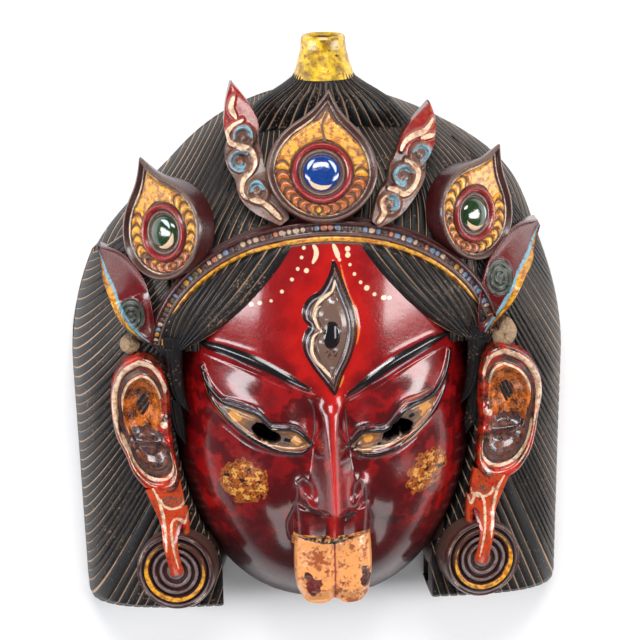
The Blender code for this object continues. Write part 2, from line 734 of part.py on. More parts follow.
def make_bench(collection):
    """Block under the back plane: it trims the pieces to one flat back."""
    mesh = bpy.data.meshes.new("bench")
    form = bmesh.new()
    bmesh.ops.create_cube(form, size=1)
    bmesh.ops.scale(form, vec=(3 * HALF_WIDTH, 3 * HALF_HEIGHT, 40 * MM), verts=form.verts)
    bmesh.ops.translate(form, vec=(0, 0, -20 * MM), verts=form.verts)
    form.to_mesh(mesh)
    form.free()
    return add_object("bench", mesh, collection)


def make_pupil(side, collection):
    profile = ((0, 0.5), (0.5, 0.5), (0.5, -0.5), (0, -0.5))
    size = Matrix.Diagonal((PUPIL_WIDTH, PUPIL_HEIGHT, 90 * MM, 1))
    place = Matrix.Translation((side * PUPIL_X, PUPIL_Y, 85 * MM)) @ Matrix.Rotation(math.radians(side * 20), 4, "Z")
    return turned("pupil", collection, profile, 12, place @ size)


# Plugs pushed into the hair over the ears: place, radius, length across
PLUGS = {
    "ear_plug_left": ((PLUG_INSET_LEFT - HALF_WIDTH, -3 * MM), PLUG_RADIUS_LEFT, 1.0),
    "ear_plug_right": ((HALF_WIDTH - PLUG_INSET_RIGHT, -3 * MM), PLUG_RADIUS_RIGHT, 1.25),
}


def plug_profile(radius, extra):
    rise = 0.55 * radius
    wide = radius + extra
    return ((0, rise + extra), (wide * 0.6, rise * 0.8 + extra), (wide * 0.92, extra),
            (wide, -0.3 * radius), (wide * 0.9, -PLUG_DEPTH - extra), (0, -PLUG_DEPTH - extra))


def plug_place(name):
    (x, y), _, stretch = PLUGS[name]
    height = hair_height(abs(x), y) + 3 * MM
    return Matrix.Translation((x, y, height)) @ Matrix.Diagonal((1, stretch, 1, 1))


def make_plug(name, collection, extra=0):
    radius = PLUGS[name][1]
    return turned(name if not extra else "plug hole", collection, plug_profile(radius, extra), 14, plug_place(name))


def combine(body, other, operation):
    boolean = body.modifiers.new(operation.title() + " " + other.name, "BOOLEAN")
    boolean.operation = operation
    boolean.solver = "MANIFOLD"
    boolean.object = other
    other.hide_render = True
    other.display_type = "WIRE"


def main():
    clear_scene()
    parts = make_collection("lacquered mask")
    carving = make_collection("carved forms")
    cutters = make_collection("cutters")

    mask = make_crown(parts)
    for side in (-1, 1):
        make_fall(side, carving)
    make_face(carving)
    make_nose(carving)
    make_lip(carving)
    make_tongue(carving)
    make_third_eye(carving)
    for side in (-1, 1):
        make_wing(side, carving)
        make_sideburn(side, carving)
        make_brow(side, carving)
        make_upper_lid(side, carving)
        make_lower_lid(side, carving)
        make_ear(side, carving)
        make_strap(side, carving)
        make_disc(side, carving)
    make_band(carving)
    make_petals(carving)
    for name in FLAMES:
        make_flame(name, carving)
    for name in LEAVES:
        make_leaf(name, carving)
    make_knot(carving)

    make_hollow(cutters)
    make_bench(cutters)
    for side in (-1, 1):
        make_pupil(side, cutters)
    for name in PLUGS:
        make_plug(name, cutters, FIT_GAP)
        plug = make_plug(name, parts)
        plug.data.materials.append(material("plug_fibre"))

    for piece in carving.objects:
        combine(mask, piece, "UNION")
    for piece in cutters.objects:
        combine(mask, piece, "DIFFERENCE")
    mask.data.materials.append(material("red_lacquer"))


main()
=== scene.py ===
# Lacquered wooden mask, lying on its back on a pale floor.
# Sizes are in millimetres: +X is the viewer's right, +Y runs up the mask, +Z points out of the face.
import math

import bpy
import numpy as np
from mathutils import Matrix, Vector

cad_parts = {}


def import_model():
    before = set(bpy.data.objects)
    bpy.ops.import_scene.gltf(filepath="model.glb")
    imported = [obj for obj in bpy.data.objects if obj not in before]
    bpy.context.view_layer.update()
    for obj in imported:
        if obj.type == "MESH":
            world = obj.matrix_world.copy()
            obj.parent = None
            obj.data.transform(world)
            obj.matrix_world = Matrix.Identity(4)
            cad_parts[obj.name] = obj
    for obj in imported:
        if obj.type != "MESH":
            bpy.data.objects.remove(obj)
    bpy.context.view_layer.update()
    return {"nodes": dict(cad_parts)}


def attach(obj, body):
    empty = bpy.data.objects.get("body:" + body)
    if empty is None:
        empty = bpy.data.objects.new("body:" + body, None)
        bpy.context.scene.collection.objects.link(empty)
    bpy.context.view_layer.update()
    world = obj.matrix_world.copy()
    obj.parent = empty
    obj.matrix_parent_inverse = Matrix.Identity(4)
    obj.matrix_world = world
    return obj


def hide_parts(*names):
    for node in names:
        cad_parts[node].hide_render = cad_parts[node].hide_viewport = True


mm = 0.001
noPaint = -6.0      # depth of a point that lies well outside a painted area
fullPaint = 6.0
pointsAcross = 8    # points across one strand of hair


def say(text):
    print("scene:", text)


def toLinear(red, green, blue):
    # Paint colours are noted as 0 to 255 display values
    shares = (red / 255, green / 255, blue / 255)
    return tuple(v / 12.92 if v < 0.04045 else ((v + 0.055) / 1.055) ** 2.4 for v in shares)


paints = {
    "hair": toLinear(7, 6, 8),
    "hairSheen": toLinear(19, 18, 21),
    "dust": toLinear(176, 146, 120),
    "red": toLinear(138, 10, 14),
    "redDark": toLinear(44, 4, 9),
    "redBright": toLinear(186, 20, 14),
    "wall": toLinear(56, 14, 17),
    "brown": toLinear(70, 38, 30),
    "taupe": toLinear(104, 80, 70),
    "mauve": toLinear(74, 56, 62),
    "gold": toLinear(218, 156, 34),
    "amber": toLinear(172, 88, 22),
    "orange": toLinear(222, 118, 40),
    "cream": toLinear(226, 194, 162),
    "blue": toLinear(112, 164, 182),
    "jewelBlue": toLinear(8, 56, 130),
    "jewelGreen": toLinear(28, 58, 22),
    "greyGreen": toLinear(82, 92, 84),
    "ink": toLinear(18, 15, 17),
    "woodBare": toLinear(120, 84, 58),
    "tongue": toLinear(222, 150, 88),
    "fibre": toLinear(190, 160, 128),
}


# Small helpers on arrays

def mix(low, high, share):
    return low + (high - low) * share


def smooth(value):
    value = np.clip(value, 0, 1)
    return value * value * (3 - 2 * value)


def swell(value, centre, width):
    return np.exp(-((value - centre) / width) ** 2)


def waves(x, y, seed, size):
    # Soft random unevenness between -1 and 1, the same on every run
    angle = seed * 2.4
    total = 0
    for step in range(4):
        turn = angle + step * 1.9
        reach = 2 * math.pi / (size * (0.6 + 0.37 * step))
        total = total + np.sin((x * math.cos(turn) + y * math.sin(turn)) * reach + seed * 7.3 + step)
    return total / 4


def curve(points, steps=7):
    # Catmull-Rom curve through the points
    points = np.array(points, dtype=float)
    before = np.vstack([points[:1], points, points[-1:]])
    pieces = []
    for i in range(len(points) - 1):
        a, b, c, d = before[i:i + 4]
        t = np.linspace(0, 1, steps, endpoint=False)[:, None]
        pieces.append(0.5 * (2 * b + (c - a) * t + (2 * a - 5 * b + 4 * c - d) * t ** 2
                             + (3 * b - a - 3 * c + d) * t ** 3))
    pieces.append(points[-1:])
    return np.vstack(pieces)


def nearPath(x, y, path, reach=12):
    # Distance to a path, and the share of the way along it
    away = np.full(x.shape, 99.0)
    share = np.zeros(x.shape)
    low, high = path.min(axis=0) - reach, path.max(axis=0) + reach
    near = np.nonzero((x > low[0]) & (x < high[0]) & (y > low[1]) & (y < high[1]))[0]
    if len(near) == 0:
        return away, share
    px, py = x[near], y[near]
    best = np.full(px.shape, 99.0)
    where = np.zeros(px.shape)
    for i in range(len(path) - 1):
        start, run = path[i], path[i + 1] - path[i]
        length = max(run @ run, 1e-9)
        t = np.clip(((px - start[0]) * run[0] + (py - start[1]) * run[1]) / length, 0, 1)
        gap = np.hypot(px - start[0] - t * run[0], py - start[1] - t * run[1])
        closer = gap < best
        best = np.where(closer, gap, best)
        where = np.where(closer, (i + t) / (len(path) - 1), where)
    away[near], share[near] = best, where
    return away, share


def insideArea(x, y, outline):
    # Signed distance to a closed outline, positive inside
    path = np.vstack([outline, outline[:1]])
    away, _ = nearPath(x, y, path, 30)
    inside = np.zeros(x.shape, dtype=bool)
    for i in range(len(path) - 1):
        a, b = path[i], path[i + 1]
        crosses = (a[1] > y) != (b[1] > y)
        at = a[0] + (y - a[1]) * (b[0] - a[0]) / (b[1] - a[1] if b[1] != a[1] else 1e-9)
        inside ^= crosses & (x < at)
    return np.where(inside, away, -away)


def insideCurve(x, y, points, steps=5):
    return insideArea(x, y, curve([*points, points[0]], steps))


def overLine(depth, width, reach=3):
    # 1 on a line and fading out beside it, from the depth inside the line
    return np.exp(-(np.minimum(0, depth) / width) ** 2) * (depth > -reach)


class Sheet:
    # A fine grid: each point has a share across (s) and up (t), a place, and how deep it lies in each paint
    def __init__(self, name, columns, rows):
        bpy.ops.mesh.primitive_grid_add(x_subdivisions=columns, y_subdivisions=rows, size=1)
        self.object = bpy.context.object
        self.object.name = self.object.data.name = name
        flat = np.empty(len(self.object.data.vertices) * 3)
        self.object.data.vertices.foreach_get("co", flat)
        self.s, self.t = flat[0::3] + 0.5, flat[1::3] + 0.5
        self.areas = {}
        self.lift = self.groove = 0

    def place(self, x, y, z):
        self.x, self.y, self.z = (np.asarray(v, dtype=float) + 0 * self.s for v in (x, y, z))

    def placeIn(self, matrix, x, y, z, lowest=-math.inf):
        points = np.column_stack([x, y, z, np.ones_like(z)]) @ np.array(matrix).T
        self.place(points[:, 0], points[:, 1], np.maximum(points[:, 2], lowest))

    def paint(self, name, depth, where=True):
        self.areas[name] = np.maximum(self.areas.get(name, noPaint), np.where(where, depth, noPaint))

    def stroke(self, name, points, width, rise=0, taper=0.25, at=None):
        # A painted or carved line; a rise lifts it, a negative one cuts a groove
        x, y = at if at is not None else (self.x, self.y)
        away, share = nearPath(x, y, curve(points))
        half = width / 2 * mix(taper, 1, np.sin(np.pi * np.clip(share, 0.02, 0.98)) ** 0.6)
        if name:
            self.paint(name, half - away)
        if rise:
            self.lift = self.lift + rise * np.exp(-(away / (half + 0.15)) ** 2)
        return half - away

    def cut(self, points, width, depth, amount=1.0):
        # A groove that also counts as a hollow, where dust lies
        inside = self.stroke(None, points, width, -depth)
        self.groove = self.groove + amount * overLine(inside, 0.5, 2)

    def finish(self, surface, closeSeam=False):
        mesh = self.object.data
        z = self.z + self.lift
        mesh.vertices.foreach_set("co", np.column_stack([self.x, self.y, z]).ravel() * mm)
        for name, depth in self.areas.items():
            layer = mesh.attributes.new(name, "FLOAT", "POINT")
            layer.data.foreach_set("value", np.clip(depth, noPaint, fullPaint) + 0 * self.s)
        mesh.polygons.foreach_set("use_smooth", np.ones(len(mesh.polygons), dtype=bool))
        mesh.materials.append(surface)
        if closeSeam:
            bpy.ops.object.mode_set(mode="EDIT")
            bpy.ops.mesh.select_all(action="SELECT")
            bpy.ops.mesh.remove_doubles(threshold=0.00002)
            bpy.ops.mesh.normals_make_consistent(inside=False)
            bpy.ops.object.mode_set(mode="OBJECT")
        mesh.update()
        return self.object


def ride(piece, node="mask"):
    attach(piece, "root")
    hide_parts(node)


# Shader nodes, written as formulas

class Socket:
    def __init__(self, surface, output):
        self.surface = surface
        self.output = output

    def math(self, operation, *values):
        return self.surface.node("ShaderNodeMath", {"operation": operation}, dict(enumerate(values)))

    def __add__(self, other):
        return self.math("ADD", self, other)

    def __radd__(self, other):
        return self.math("ADD", other, self)

    def __sub__(self, other):
        return self.math("SUBTRACT", self, other)

    def __rsub__(self, other):
        return self.math("SUBTRACT", other, self)

    def __mul__(self, other):
        return self.math("MULTIPLY", self, other)

    def __rmul__(self, other):
        return self.math("MULTIPLY", other, self)


class Surface:
    def __init__(self, name, roughness=0.3, coat=0.0):
        self.material = bpy.data.materials.new(name)
        self.material.use_nodes = True
        self.tree = self.material.node_tree
        self.shader = self.tree.nodes["Principled BSDF"]
        self.shader.inputs["Coat Roughness"].default_value = 0.12
        self.put(self.shader.inputs["Roughness"], roughness)
        self.put(self.shader.inputs["Coat Weight"], coat)
        self.place = Socket(self, self.tree.nodes.new("ShaderNodeTexCoord").outputs["Object"])

    def put(self, target, value):
        if isinstance(value, Socket):
            self.tree.links.new(value.output, target)
        elif target.type == "RGBA":
            target.default_value = (*value, 1)
        else:
            target.default_value = value

    def node(self, kind, settings, values, output=0):
        made = self.tree.nodes.new(kind)
        for key, value in settings.items():
            setattr(made, key, value)
        for key, value in values.items():
            self.put(made.inputs[key], value)
        return Socket(self, made.outputs[output])

    def area(self, name):
        return self.node("ShaderNodeAttribute", {"attribute_name": name}, {}, "Fac")

    def noise(self, scale, detail=3, where=None, distortion=0.0):
        values = {"Vector": where or self.place, "Scale": scale, "Detail": detail, "Distortion": distortion}
        return self.node("ShaderNodeTexNoise", {}, values)

    def step(self, value, low, high):
        values = {"Value": value, "From Min": low, "From Max": high}
        return self.node("ShaderNodeMapRange", {"interpolation_type": "SMOOTHSTEP"}, values)

    def mix(self, share, low, high):
        return self.node("ShaderNodeMix", {"data_type": "RGBA"}, {0: share, 6: low, 7: high}, 2)

    def stretched(self, x, y, z):
        values = {"Vector": self.place, "Scale": (x, y, z)}
        return self.node("ShaderNodeMapping", {"vector_type": "POINT"}, values)

    def along(self, across, up, length):
        # A vector that runs with the strands, for streaks
        values = {"X": self.area(across) * 1.0, "Y": self.area(up) * length, "Z": 0.0}
        return self.node("ShaderNodeCombineXYZ", {}, values)

    def layers(self, colour, areas, wear):
        # Paints each area over the ones before it; wear eats into its edge
        for name, paint in areas:
            edge = self.area(name) + wear
            colour = self.mix(self.step(edge, -0.28, 0.28), colour, paint)
        return colour

    def bump(self, height, distance):
        values = {"Height": height, "Distance": distance * mm}
        self.put(self.shader.inputs["Normal"], self.node("ShaderNodeBump", {}, values))

    def colour(self, value):
        self.put(self.shader.inputs["Base Color"], value)
        return self.material

    def rough(self, value):
        self.put(self.shader.inputs["Roughness"], value)

    def coat(self, value):
        self.put(self.shader.inputs["Coat Weight"], value)


def carvedPaint(name, base, areas, roughness=0.34, coat=0.35, dirt=0.75, wornTo="brown"):
    # Lacquer on carved ornament: painted areas, dust in the hollows, small worn spots
    surface = Surface(name)
    fine = surface.noise(900, 4)
    broad = surface.noise(140, 3)
    wear = (fine - 0.5) * 0.9 + (broad - 0.5) * 1.1
    patchy = surface.noise(330, 4)
    colour = surface.mix(surface.step(broad, 0.35, 0.7), base, tuple(v * 0.45 for v in base))
    colour = surface.layers(colour, areas, wear)
    golden = surface.step(surface.area("goldArea"), -0.2, 0.2) * surface.step(patchy, 0.46, 0.62)
    colour = surface.mix(golden * 0.8, colour, paints["amber"])
    chips = surface.step(surface.noise(420, 5), 0.61, 0.67)
    colour = surface.mix(chips * 0.75, colour, paints[wornTo])
    glaze = surface.step(patchy * 0.5 + broad * 0.5, 0.42, 0.66)
    colour = surface.mix(glaze * 0.42, colour, paints["wall"])
    dusty = surface.step(surface.area("hollow") + (fine - 0.5) * 0.9, 0.25, 0.95) * dirt
    colour = surface.mix(dusty, colour, paints["taupe"])
    surface.rough(surface.step(dusty + (broad - 0.5) * 0.5, -0.2, 1.1) * 0.4 + roughness - 0.08)
    surface.coat((1 - dusty) * coat)
    surface.bump(fine * 0.5 + broad * 0.5, 0.5)
    return surface.colour(colour)


def makeMaterials():
    made = {}

    hair = Surface("hair lacquer")
    hair.shader.inputs["Specular IOR Level"].default_value = 0.3
    streak = hair.noise(1.6, 5, hair.along("across", "run", 0.16))
    speck = hair.noise(700, 4)
    broad = hair.noise(45, 3)
    colour = hair.mix(hair.step(streak, 0.42, 0.72), paints["hair"], paints["hairSheen"])
    worn = hair.step(hair.area("hollow") + (speck - 0.5) * 0.55 + (broad - 0.5) * 0.5, 0.56, 0.8)
    colour = hair.mix(worn * 0.95, colour, paints["dust"])
    colour = hair.mix(hair.step(speck + (broad - 0.5) * 0.6, 0.64, 0.74) * 0.35, colour, paints["dust"])
    hair.rough(hair.step(streak, 0.3, 0.8) * 0.2 + worn * 0.3 + 0.36)
    hair.coat((1 - worn) * 0.08)
    hair.bump(streak * 1.0 + speck * 0.25, 0.9)
    made["hair"] = hair.colour(colour)

    made["petal"] = carvedPaint("petal paint", paints["brown"], (
        ("wallArea", paints["wall"]), ("goldArea", paints["gold"]), ("amberArea", paints["amber"]),
        ("inkArea", paints["brown"]), ("taupeArea", paints["taupe"]), ("redArea", paints["red"]),
        ("mauveArea", paints["mauve"]), ("creamArea", paints["cream"])))
    made["flame"] = carvedPaint("flame paint", paints["wall"], (
        ("redArea", paints["red"]), ("taupeArea", paints["taupe"]), ("blueArea", paints["blue"]),
        ("creamArea", paints["cream"])))
    made["band"] = carvedPaint("band paint", paints["brown"], (
        ("wallArea", paints["wall"]), ("taupeArea", paints["taupe"]), ("mauveArea", paints["mauve"]),
        ("amberArea", paints["amber"]), ("goldArea", paints["gold"]), ("beadCream", paints["cream"]),
        ("beadGold", paints["gold"]), ("beadOrange", toLinear(226, 130, 90)),
        ("beadBlue", toLinear(120, 156, 190)),
        ("beadOlive", toLinear(84, 88, 40))), dirt=0.5)
    made["leaf"] = carvedPaint("leaf paint", paints["brown"], (
        ("redArea", toLinear(92, 3, 8)), ("curlArea", paints["greyGreen"]), ("inkArea", paints["ink"]),
        ("blueArea", paints["blue"]), ("goldArea", paints["gold"])), roughness=0.26, coat=0.6)
    made["ear"] = carvedPaint("ear paint", paints["redBright"], (
        ("darkArea", paints["mauve"]), ("conchaArea", paints["orange"]), ("inkArea", paints["ink"]),
        ("redArea", paints["redBright"]), ("creamArea", paints["cream"])), roughness=0.24, coat=0.6,
                              dirt=0.35)
    made["disc"] = carvedPaint("disc paint", paints["brown"], (
        ("wallArea", paints["wall"]), ("mauveArea", toLinear(112, 100, 104)), ("inkArea", paints["ink"]),
        ("goldArea", paints["gold"]), ("creamArea", paints["cream"])), dirt=0.5)
    made["knot"] = carvedPaint("knot paint", toLinear(228, 186, 30),
                               (("inkArea", paints["ink"]), ("hairArea", paints["wall"])),
                               dirt=0.9, wornTo="wall")

    for name, tint in (("blue jewel", paints["jewelBlue"]), ("green jewel", paints["jewelGreen"])):
        jewel = Surface(name, 0.12, 1.0)
        mottled = jewel.noise(500, 3)
        colour = jewel.mix(jewel.step(mottled, 0.35, 0.75), tint, tuple(v * 0.5 for v in tint))
        colour = jewel.layers(colour, (("glintArea", toLinear(196, 210, 226)),
                                       ("creamArea", paints["cream"])),
                              (mottled - 0.5) * 0.6)
        jewel.bump(mottled, 0.15)
        made[name] = jewel.colour(colour)

    face = Surface("face lacquer")
    face.shader.inputs["Specular IOR Level"].default_value = 0.25
    broad = face.noise(26, 4, distortion=0.6)
    middle = face.noise(95, 4)
    fine = face.noise(520, 4)
    deep = face.step(broad + (middle - 0.5) * 0.7 + face.area("shadeArea") * 0.12, 0.36, 0.78)
    # Darker towards the bottom of the face, but not on the nose ridge, which leaves painted shade on the
    # nose's flanks
    low = face.area("darkerBelowAndFlankShadeArea")
    colour = face.mix(deep, paints["red"], paints["redDark"])
    patches = face.step(middle + (broad - 0.5) * 0.5, 0.44, 0.6)
    colour = face.mix(low * (1 - patches) * 0.85, colour, toLinear(58, 6, 10))
    # Painted highlight: brighter red along the nose ridge, and brighter red round the third eye
    bright = face.step(face.area("brightRedAndRidgeHighlightArea") + (middle - 0.5) * 8 + (broad - 0.5) * 7, -3, 5)
    colour = face.mix(bright * 0.75, colour, paints["redBright"])
    wear = (fine - 0.5) * 0.5 + (middle - 0.5) * 0.5
    colour = face.layers(colour, (
        ("spotArea", toLinear(150, 78, 24)), ("amberArea", toLinear(140, 92, 54)),
                                  ("orangeArea", paints["orange"]),
        ("taupeArea", paints["taupe"]), ("inkArea", paints["ink"]), ("greyArea", toLinear(150, 146, 156)),
                                  ("creamArea", paints["cream"]), ("goldArea", toLinear(206, 142, 66))),
                         wear)
    flecks = face.step(face.noise(700, 5) + face.step(face.area("spotArea"), -1, 1) * 0.16, 0.66, 0.72)
    colour = face.mix(flecks * 0.7, colour, paints["redDark"])
    dusty = face.step(face.area("hollow") + (fine - 0.5) * 0.8, 0.35, 1.0) * 0.6
    colour = face.mix(dusty, colour, paints["mauve"])
    edge = face.area("edgeArea")
    colour = face.mix(edge * 0.8, colour, toLinear(40, 8, 12))
    face.rough(face.step(middle, 0.3, 0.8) * 0.12 + dusty * 0.25 + edge * 0.4 + 0.2)
    face.coat((1 - dusty) * (1 - edge) * 0.65)
    face.bump(middle * 0.7 + fine * 0.3, 0.35)
    made["face"] = face.colour(colour)

    tongue = Surface("tongue paint")
    broad = tongue.noise(60, 4, distortion=0.4)
    fine = tongue.noise(420, 5)
    worn = tongue.step(broad * 0.6 + fine * 0.4, 0.5, 0.6)
    colour = tongue.mix(worn, paints["tongue"], toLinear(150, 74, 36))
    fleck = tongue.step(tongue.noise(260, 4, distortion=0.8), 0.6, 0.66)
    colour = tongue.mix(fleck * 0.7, colour, toLinear(112, 48, 26))
    colour = tongue.layers(colour, (
        ("grooveArea", toLinear(150, 60, 52)), ("inkArea", toLinear(70, 26, 18)),
                                    ("wallArea", toLinear(96, 24, 18)),
        ("stripArea", toLinear(54, 34, 30)), ("goldArea", toLinear(206, 132, 48)),
                                    ("creamArea", toLinear(206, 178, 142)),
        ("redArea", toLinear(96, 12, 24))), (fine - 0.5) * 1.6)
    tongue.rough(worn * 0.2 + 0.26)
    tongue.coat((1 - worn) * 0.5)
    tongue.bump(worn * 0.5 + fine * 0.5, 0.5)
    made["tongue"] = tongue.colour(colour)

    back = Surface("bare wood", 0.7)
    grain = back.noise(30, 4, back.stretched(1, 0.12, 1))
    back.bump(grain, 0.8)
    made["back"] = back.colour(back.mix(grain, paints["woodBare"], toLinear(74, 50, 36)))

    fibre = Surface("plug fibre", 0.9)
    tuft = fibre.noise(600, 5, distortion=1.0)
    fibre.bump(tuft, 1.2)
    made["fibre"] = fibre.colour(fibre.mix(tuft, paints["fibre"], toLinear(104, 82, 62)))

    floor = Surface("pale floor", 0.55)
    made["floor"] = floor.colour((0.92, 0.92, 0.93))
    return made


# Heights of the hair and the face over the back plane

crown = {"centreY": -25.0, "rise": 164.0, "depth": 98.0, "startY": -8.0, "halfWidth": 150.0,
         "halfHeight": 174.0, "lean": 10.0, "gather": 0.54, "gatherY": 20.0, "gatherReach": 110.0,
         "fallTopY": 35.0, "fallBlend": 70.0, "fallDepthEar": 69.0, "fallDepthLow": 56.0, "fallTaper": 5.0,
         "strands": 72, "rows": 72, "grooveDepth": 1.5}


def crownHalfWidth(y):
    rise = np.clip((y - crown["centreY"]) / crown["rise"], 0, 1)
    low = crown["fallTaper"] * (crown["centreY"] - y) / (crown["halfHeight"] + crown["centreY"])
    return np.where(y < crown["centreY"], crown["halfWidth"] - low,
                    crown["halfWidth"] * (1 - rise * rise) ** 0.55)


def crownMiddle(y):
    return crown["lean"] * swell(y, 92, 34)


def hairHeight(x, y):
    half = np.maximum(crownHalfWidth(y), 1e-6)
    side = np.clip(np.abs(x - crownMiddle(y)) / half, 0, 1)
    rise = np.clip((y - crown["centreY"]) / crown["rise"], 0, 1)
    dome = crown["depth"] * np.sqrt((1 - side ** 2.2) * (1 - rise ** 2.6))
    plateau = mix(crown["fallDepthLow"], crown["fallDepthEar"], smooth((y + 110) / 100))
    return mix(dome, plateau * np.sqrt(1 - side ** 7), smooth((crown["fallTopY"] - y) / crown["fallBlend"]))


face = {"columns": 290, "rows": 320, "sheetHalfWidth": 91.8, "wallShare": 0.05,
        "halfWidth": 92.0, "centreY": -40.0, "chinReach": 133.0, "chinShape": 2.08, "chinFullness": 0.7,
        "foreheadReach": 170.0, "edgeDepth": 30.0, "depth": 102.0}


def faceHeight(x, y):
    across = np.abs(x)
    wide = np.minimum(1, (across / face["halfWidth"]) ** 2.3)
    down = (np.maximum(0, face["centreY"] - y) / face["chinReach"]) ** face["chinShape"]
    down = down * np.minimum(1, down / np.maximum(0.001, 1 - wide)) ** face["chinFullness"]
    up = (np.maximum(0, y - face["centreY"]) / face["foreheadReach"]) ** 3
    share = np.maximum(0, 1 - wide - down - up) ** 0.6
    height = face["edgeDepth"] + (face["depth"] - face["edgeDepth"]) * share
    height = height + 6 * swell(across, 42, 22) * swell(y, -50 + across * 0.25, 16)
    height = height + 4 * swell(across, 46, 22) * swell(y, -92, 20)
    height = height - 5 * swell(across, 12, 9) * swell(y, -44, 16)
    return height - 2 * swell(across, 26, 6) * swell(y, -112, 16)


def faceEdge(y):
    below = (np.maximum(0, face["centreY"] - y) / face["chinReach"]) ** face["chinShape"]
    return face["halfWidth"] * np.maximum(0, 1 - below) ** (1 / 2.3)


def frontHeight(x, y):
    return np.maximum(hairHeight(x, y), faceHeight(x, y))


# The hair. The points across a strand are close together at its groove and wide apart on its round top

strandPhases = np.array([0.0, 0.05, 0.11, 0.24, 0.5, 0.76, 0.89, 0.95])


def strandPlaces(share, strands):
    # Share across the piece, moved so that the points gather at the grooves, and the depth in the groove
    column = np.rint(share * strands * pointsAcross).astype(int)
    phase = strandPhases[column % pointsAcross]
    away = np.minimum(phase, 1 - phase)
    groove = np.exp(-(away / 0.075) ** 2) + 0.45 * (away / 0.5 - 1) ** 2
    return (column // pointsAcross + phase) / strands, groove


def strandDetail(sheet, place, run, groove, strands):
    number = np.floor(place * strands + 0.5)
    uneven = 0.75 + 0.35 * np.sin(number * 12.9898)
    sheet.areas["hollow"] = np.clip(groove * (0.84 + 0.2 * np.sin(number * 3.7 + run * 0.03)), 0, 1.2)
    sheet.areas["across"] = place * strands * 6
    sheet.areas["run"] = run
    return groove * uneven


def gather(y):
    return 1 - crown["gather"] * np.maximum(0, (y - crown["gatherY"]) / crown["gatherReach"]) ** 2


def makeCrown(materials):
    strands = crown["strands"]
    sheet = Sheet("crown_hair", strands * pointsAcross, crown["rows"])
    place, groove = strandPlaces(sheet.s, strands)
    # Strands look narrower towards the sides of the crown
    reach = np.sin((2 * place - 1) * 1.3) / np.sin(1.3) * crown["halfWidth"] * 0.995
    low = np.full(reach.shape, crown["centreY"])
    high = low + crown["rise"] * 0.9995
    for _ in range(30):
        y = (low + high) / 2
        inside = np.abs(reach * gather(y)) < crownHalfWidth(y)
        low, high = np.where(inside, y, low), np.where(inside, high, y)
    climb = np.clip(sheet.t / 0.96, 0, 1)
    y = mix(crown["startY"], low, np.sin(climb * np.pi / 2))
    swayed = reach + 0.9 * waves(reach, y, 3, 90)
    x = swayed * gather(y) + crownMiddle(y)
    depth = strandDetail(sheet, place, y, groove, strands)
    z = hairHeight(x, y) - 4 * smooth((24 - y) / 20) - crown["grooveDepth"] * depth
    wall = np.clip((sheet.t - 0.96) / 0.04, 0, 1)
    sheet.place(x, y, np.maximum(z, 3) * (1 - wall))
    ride(sheet.finish(materials["hair"]))


fall = {"strands": 50, "columns": 56, "innerLow": 64.0, "innerHigh": 92.0, "corner": 6.0, "topEdgeY": 42.0,
        "leftSource": (75, 230), "rightSource": (108, 420), "rimOverlap": 1.5, "inset": 0.3}


def makeFall(side, materials):
    # Hair behind one ear: strands run from a far point down and out to the edge
    source = fall["leftSource"] if side < 0 else fall["rightSource"]
    lowY = -crown["halfHeight"]
    footHalf = float(crownHalfWidth(np.array(lowY)))
    edgeLength = fall["topEdgeY"] - lowY
    footLength = footHalf - fall["innerLow"]
    strands = fall["strands"]
    sheet = Sheet("left_hair" if side < 0 else "right_hair", fall["columns"], strands * pointsAcross)
    place, groove = strandPlaces(sheet.t, strands)
    way = place * (edgeLength + footLength)
    edgeY = np.maximum(fall["topEdgeY"] - way, lowY)
    corner = np.clip((lowY + fall["corner"] - edgeY) / fall["corner"], 0, 1)
    downEdge = crownHalfWidth(edgeY) - fall["corner"] * (1 - np.sqrt(1 - corner * corner))
    foot = np.clip((way - edgeLength) / footLength, 0, 1)
    edgeX = np.where(way < edgeLength, downEdge,
                     footHalf - fall["corner"] - foot * (footLength - fall["corner"]))
    aimX, aimY = -source[0] - edgeX, source[1] - edgeY
    inner = mix(fall["innerHigh"], fall["innerLow"], smooth(place * 1.6 - 0.1))
    pull = np.maximum(0, (edgeX - inner) / -aimX)
    # A strand starts at the inner line, or at the rim of the face if it meets that first
    near, far = np.zeros_like(pull), pull.copy()
    for _ in range(20):
        half = (near + far) / 2
        inFace = edgeX + aimX * half < faceEdge(edgeY + aimY * half) - fall["rimOverlap"]
        near, far = np.where(inFace, near, half), np.where(inFace, half, far)
    pull = np.where(edgeX + aimX * pull < faceEdge(edgeY + aimY * pull), far, pull)
    # Across the sheet: inner wall, top, outer wall
    top = np.clip((sheet.s - 0.03) / 0.83, 0, 1)
    innerWall = np.clip(1 - sheet.s / 0.03, 0, 1)
    share = np.sin(top * np.pi / 2)
    x = edgeX + aimX * pull * (1 - share)
    y = edgeY + aimY * pull * (1 - share)
    x = np.minimum(x, crownHalfWidth(y) - fall["inset"])
    y = np.maximum(y, lowY + fall["inset"])
    depth = strandDetail(sheet, place, np.hypot(x - 75, y), groove, strands)
    rounded = mix(0.82, 1, smooth((y - lowY) / 5))
    z = hairHeight(x, y) * rounded + 1.2 - crown["grooveDepth"] * depth
    wall = np.clip((sheet.s - 0.86) / 0.14, 0, 1)
    dent = 0.6 * groove * np.sqrt(np.clip(wall, 0, 1))
    z = np.maximum(z, 4) * (1 - wall) - 30 * innerWall
    sheet.place(side * (x - dent), y + dent * (place > 0.72), np.maximum(z, 0))
    ride(sheet.finish(materials["hair"]))


band = {"centreY": -12.0, "reachX": 100.0, "reachY": 78.0, "width": 15.5, "endWidth": 9.0, "length": 268.0}
beads = {"spacing": 3.7, "row": 0.31, "radius": 1.75, "paintRadius": 1.55, "rise": 1.3}


wing = {"strands": 13, "columns": 60, "inset": 0.945, "rise": 3.4, "grooveDepth": 1.3}


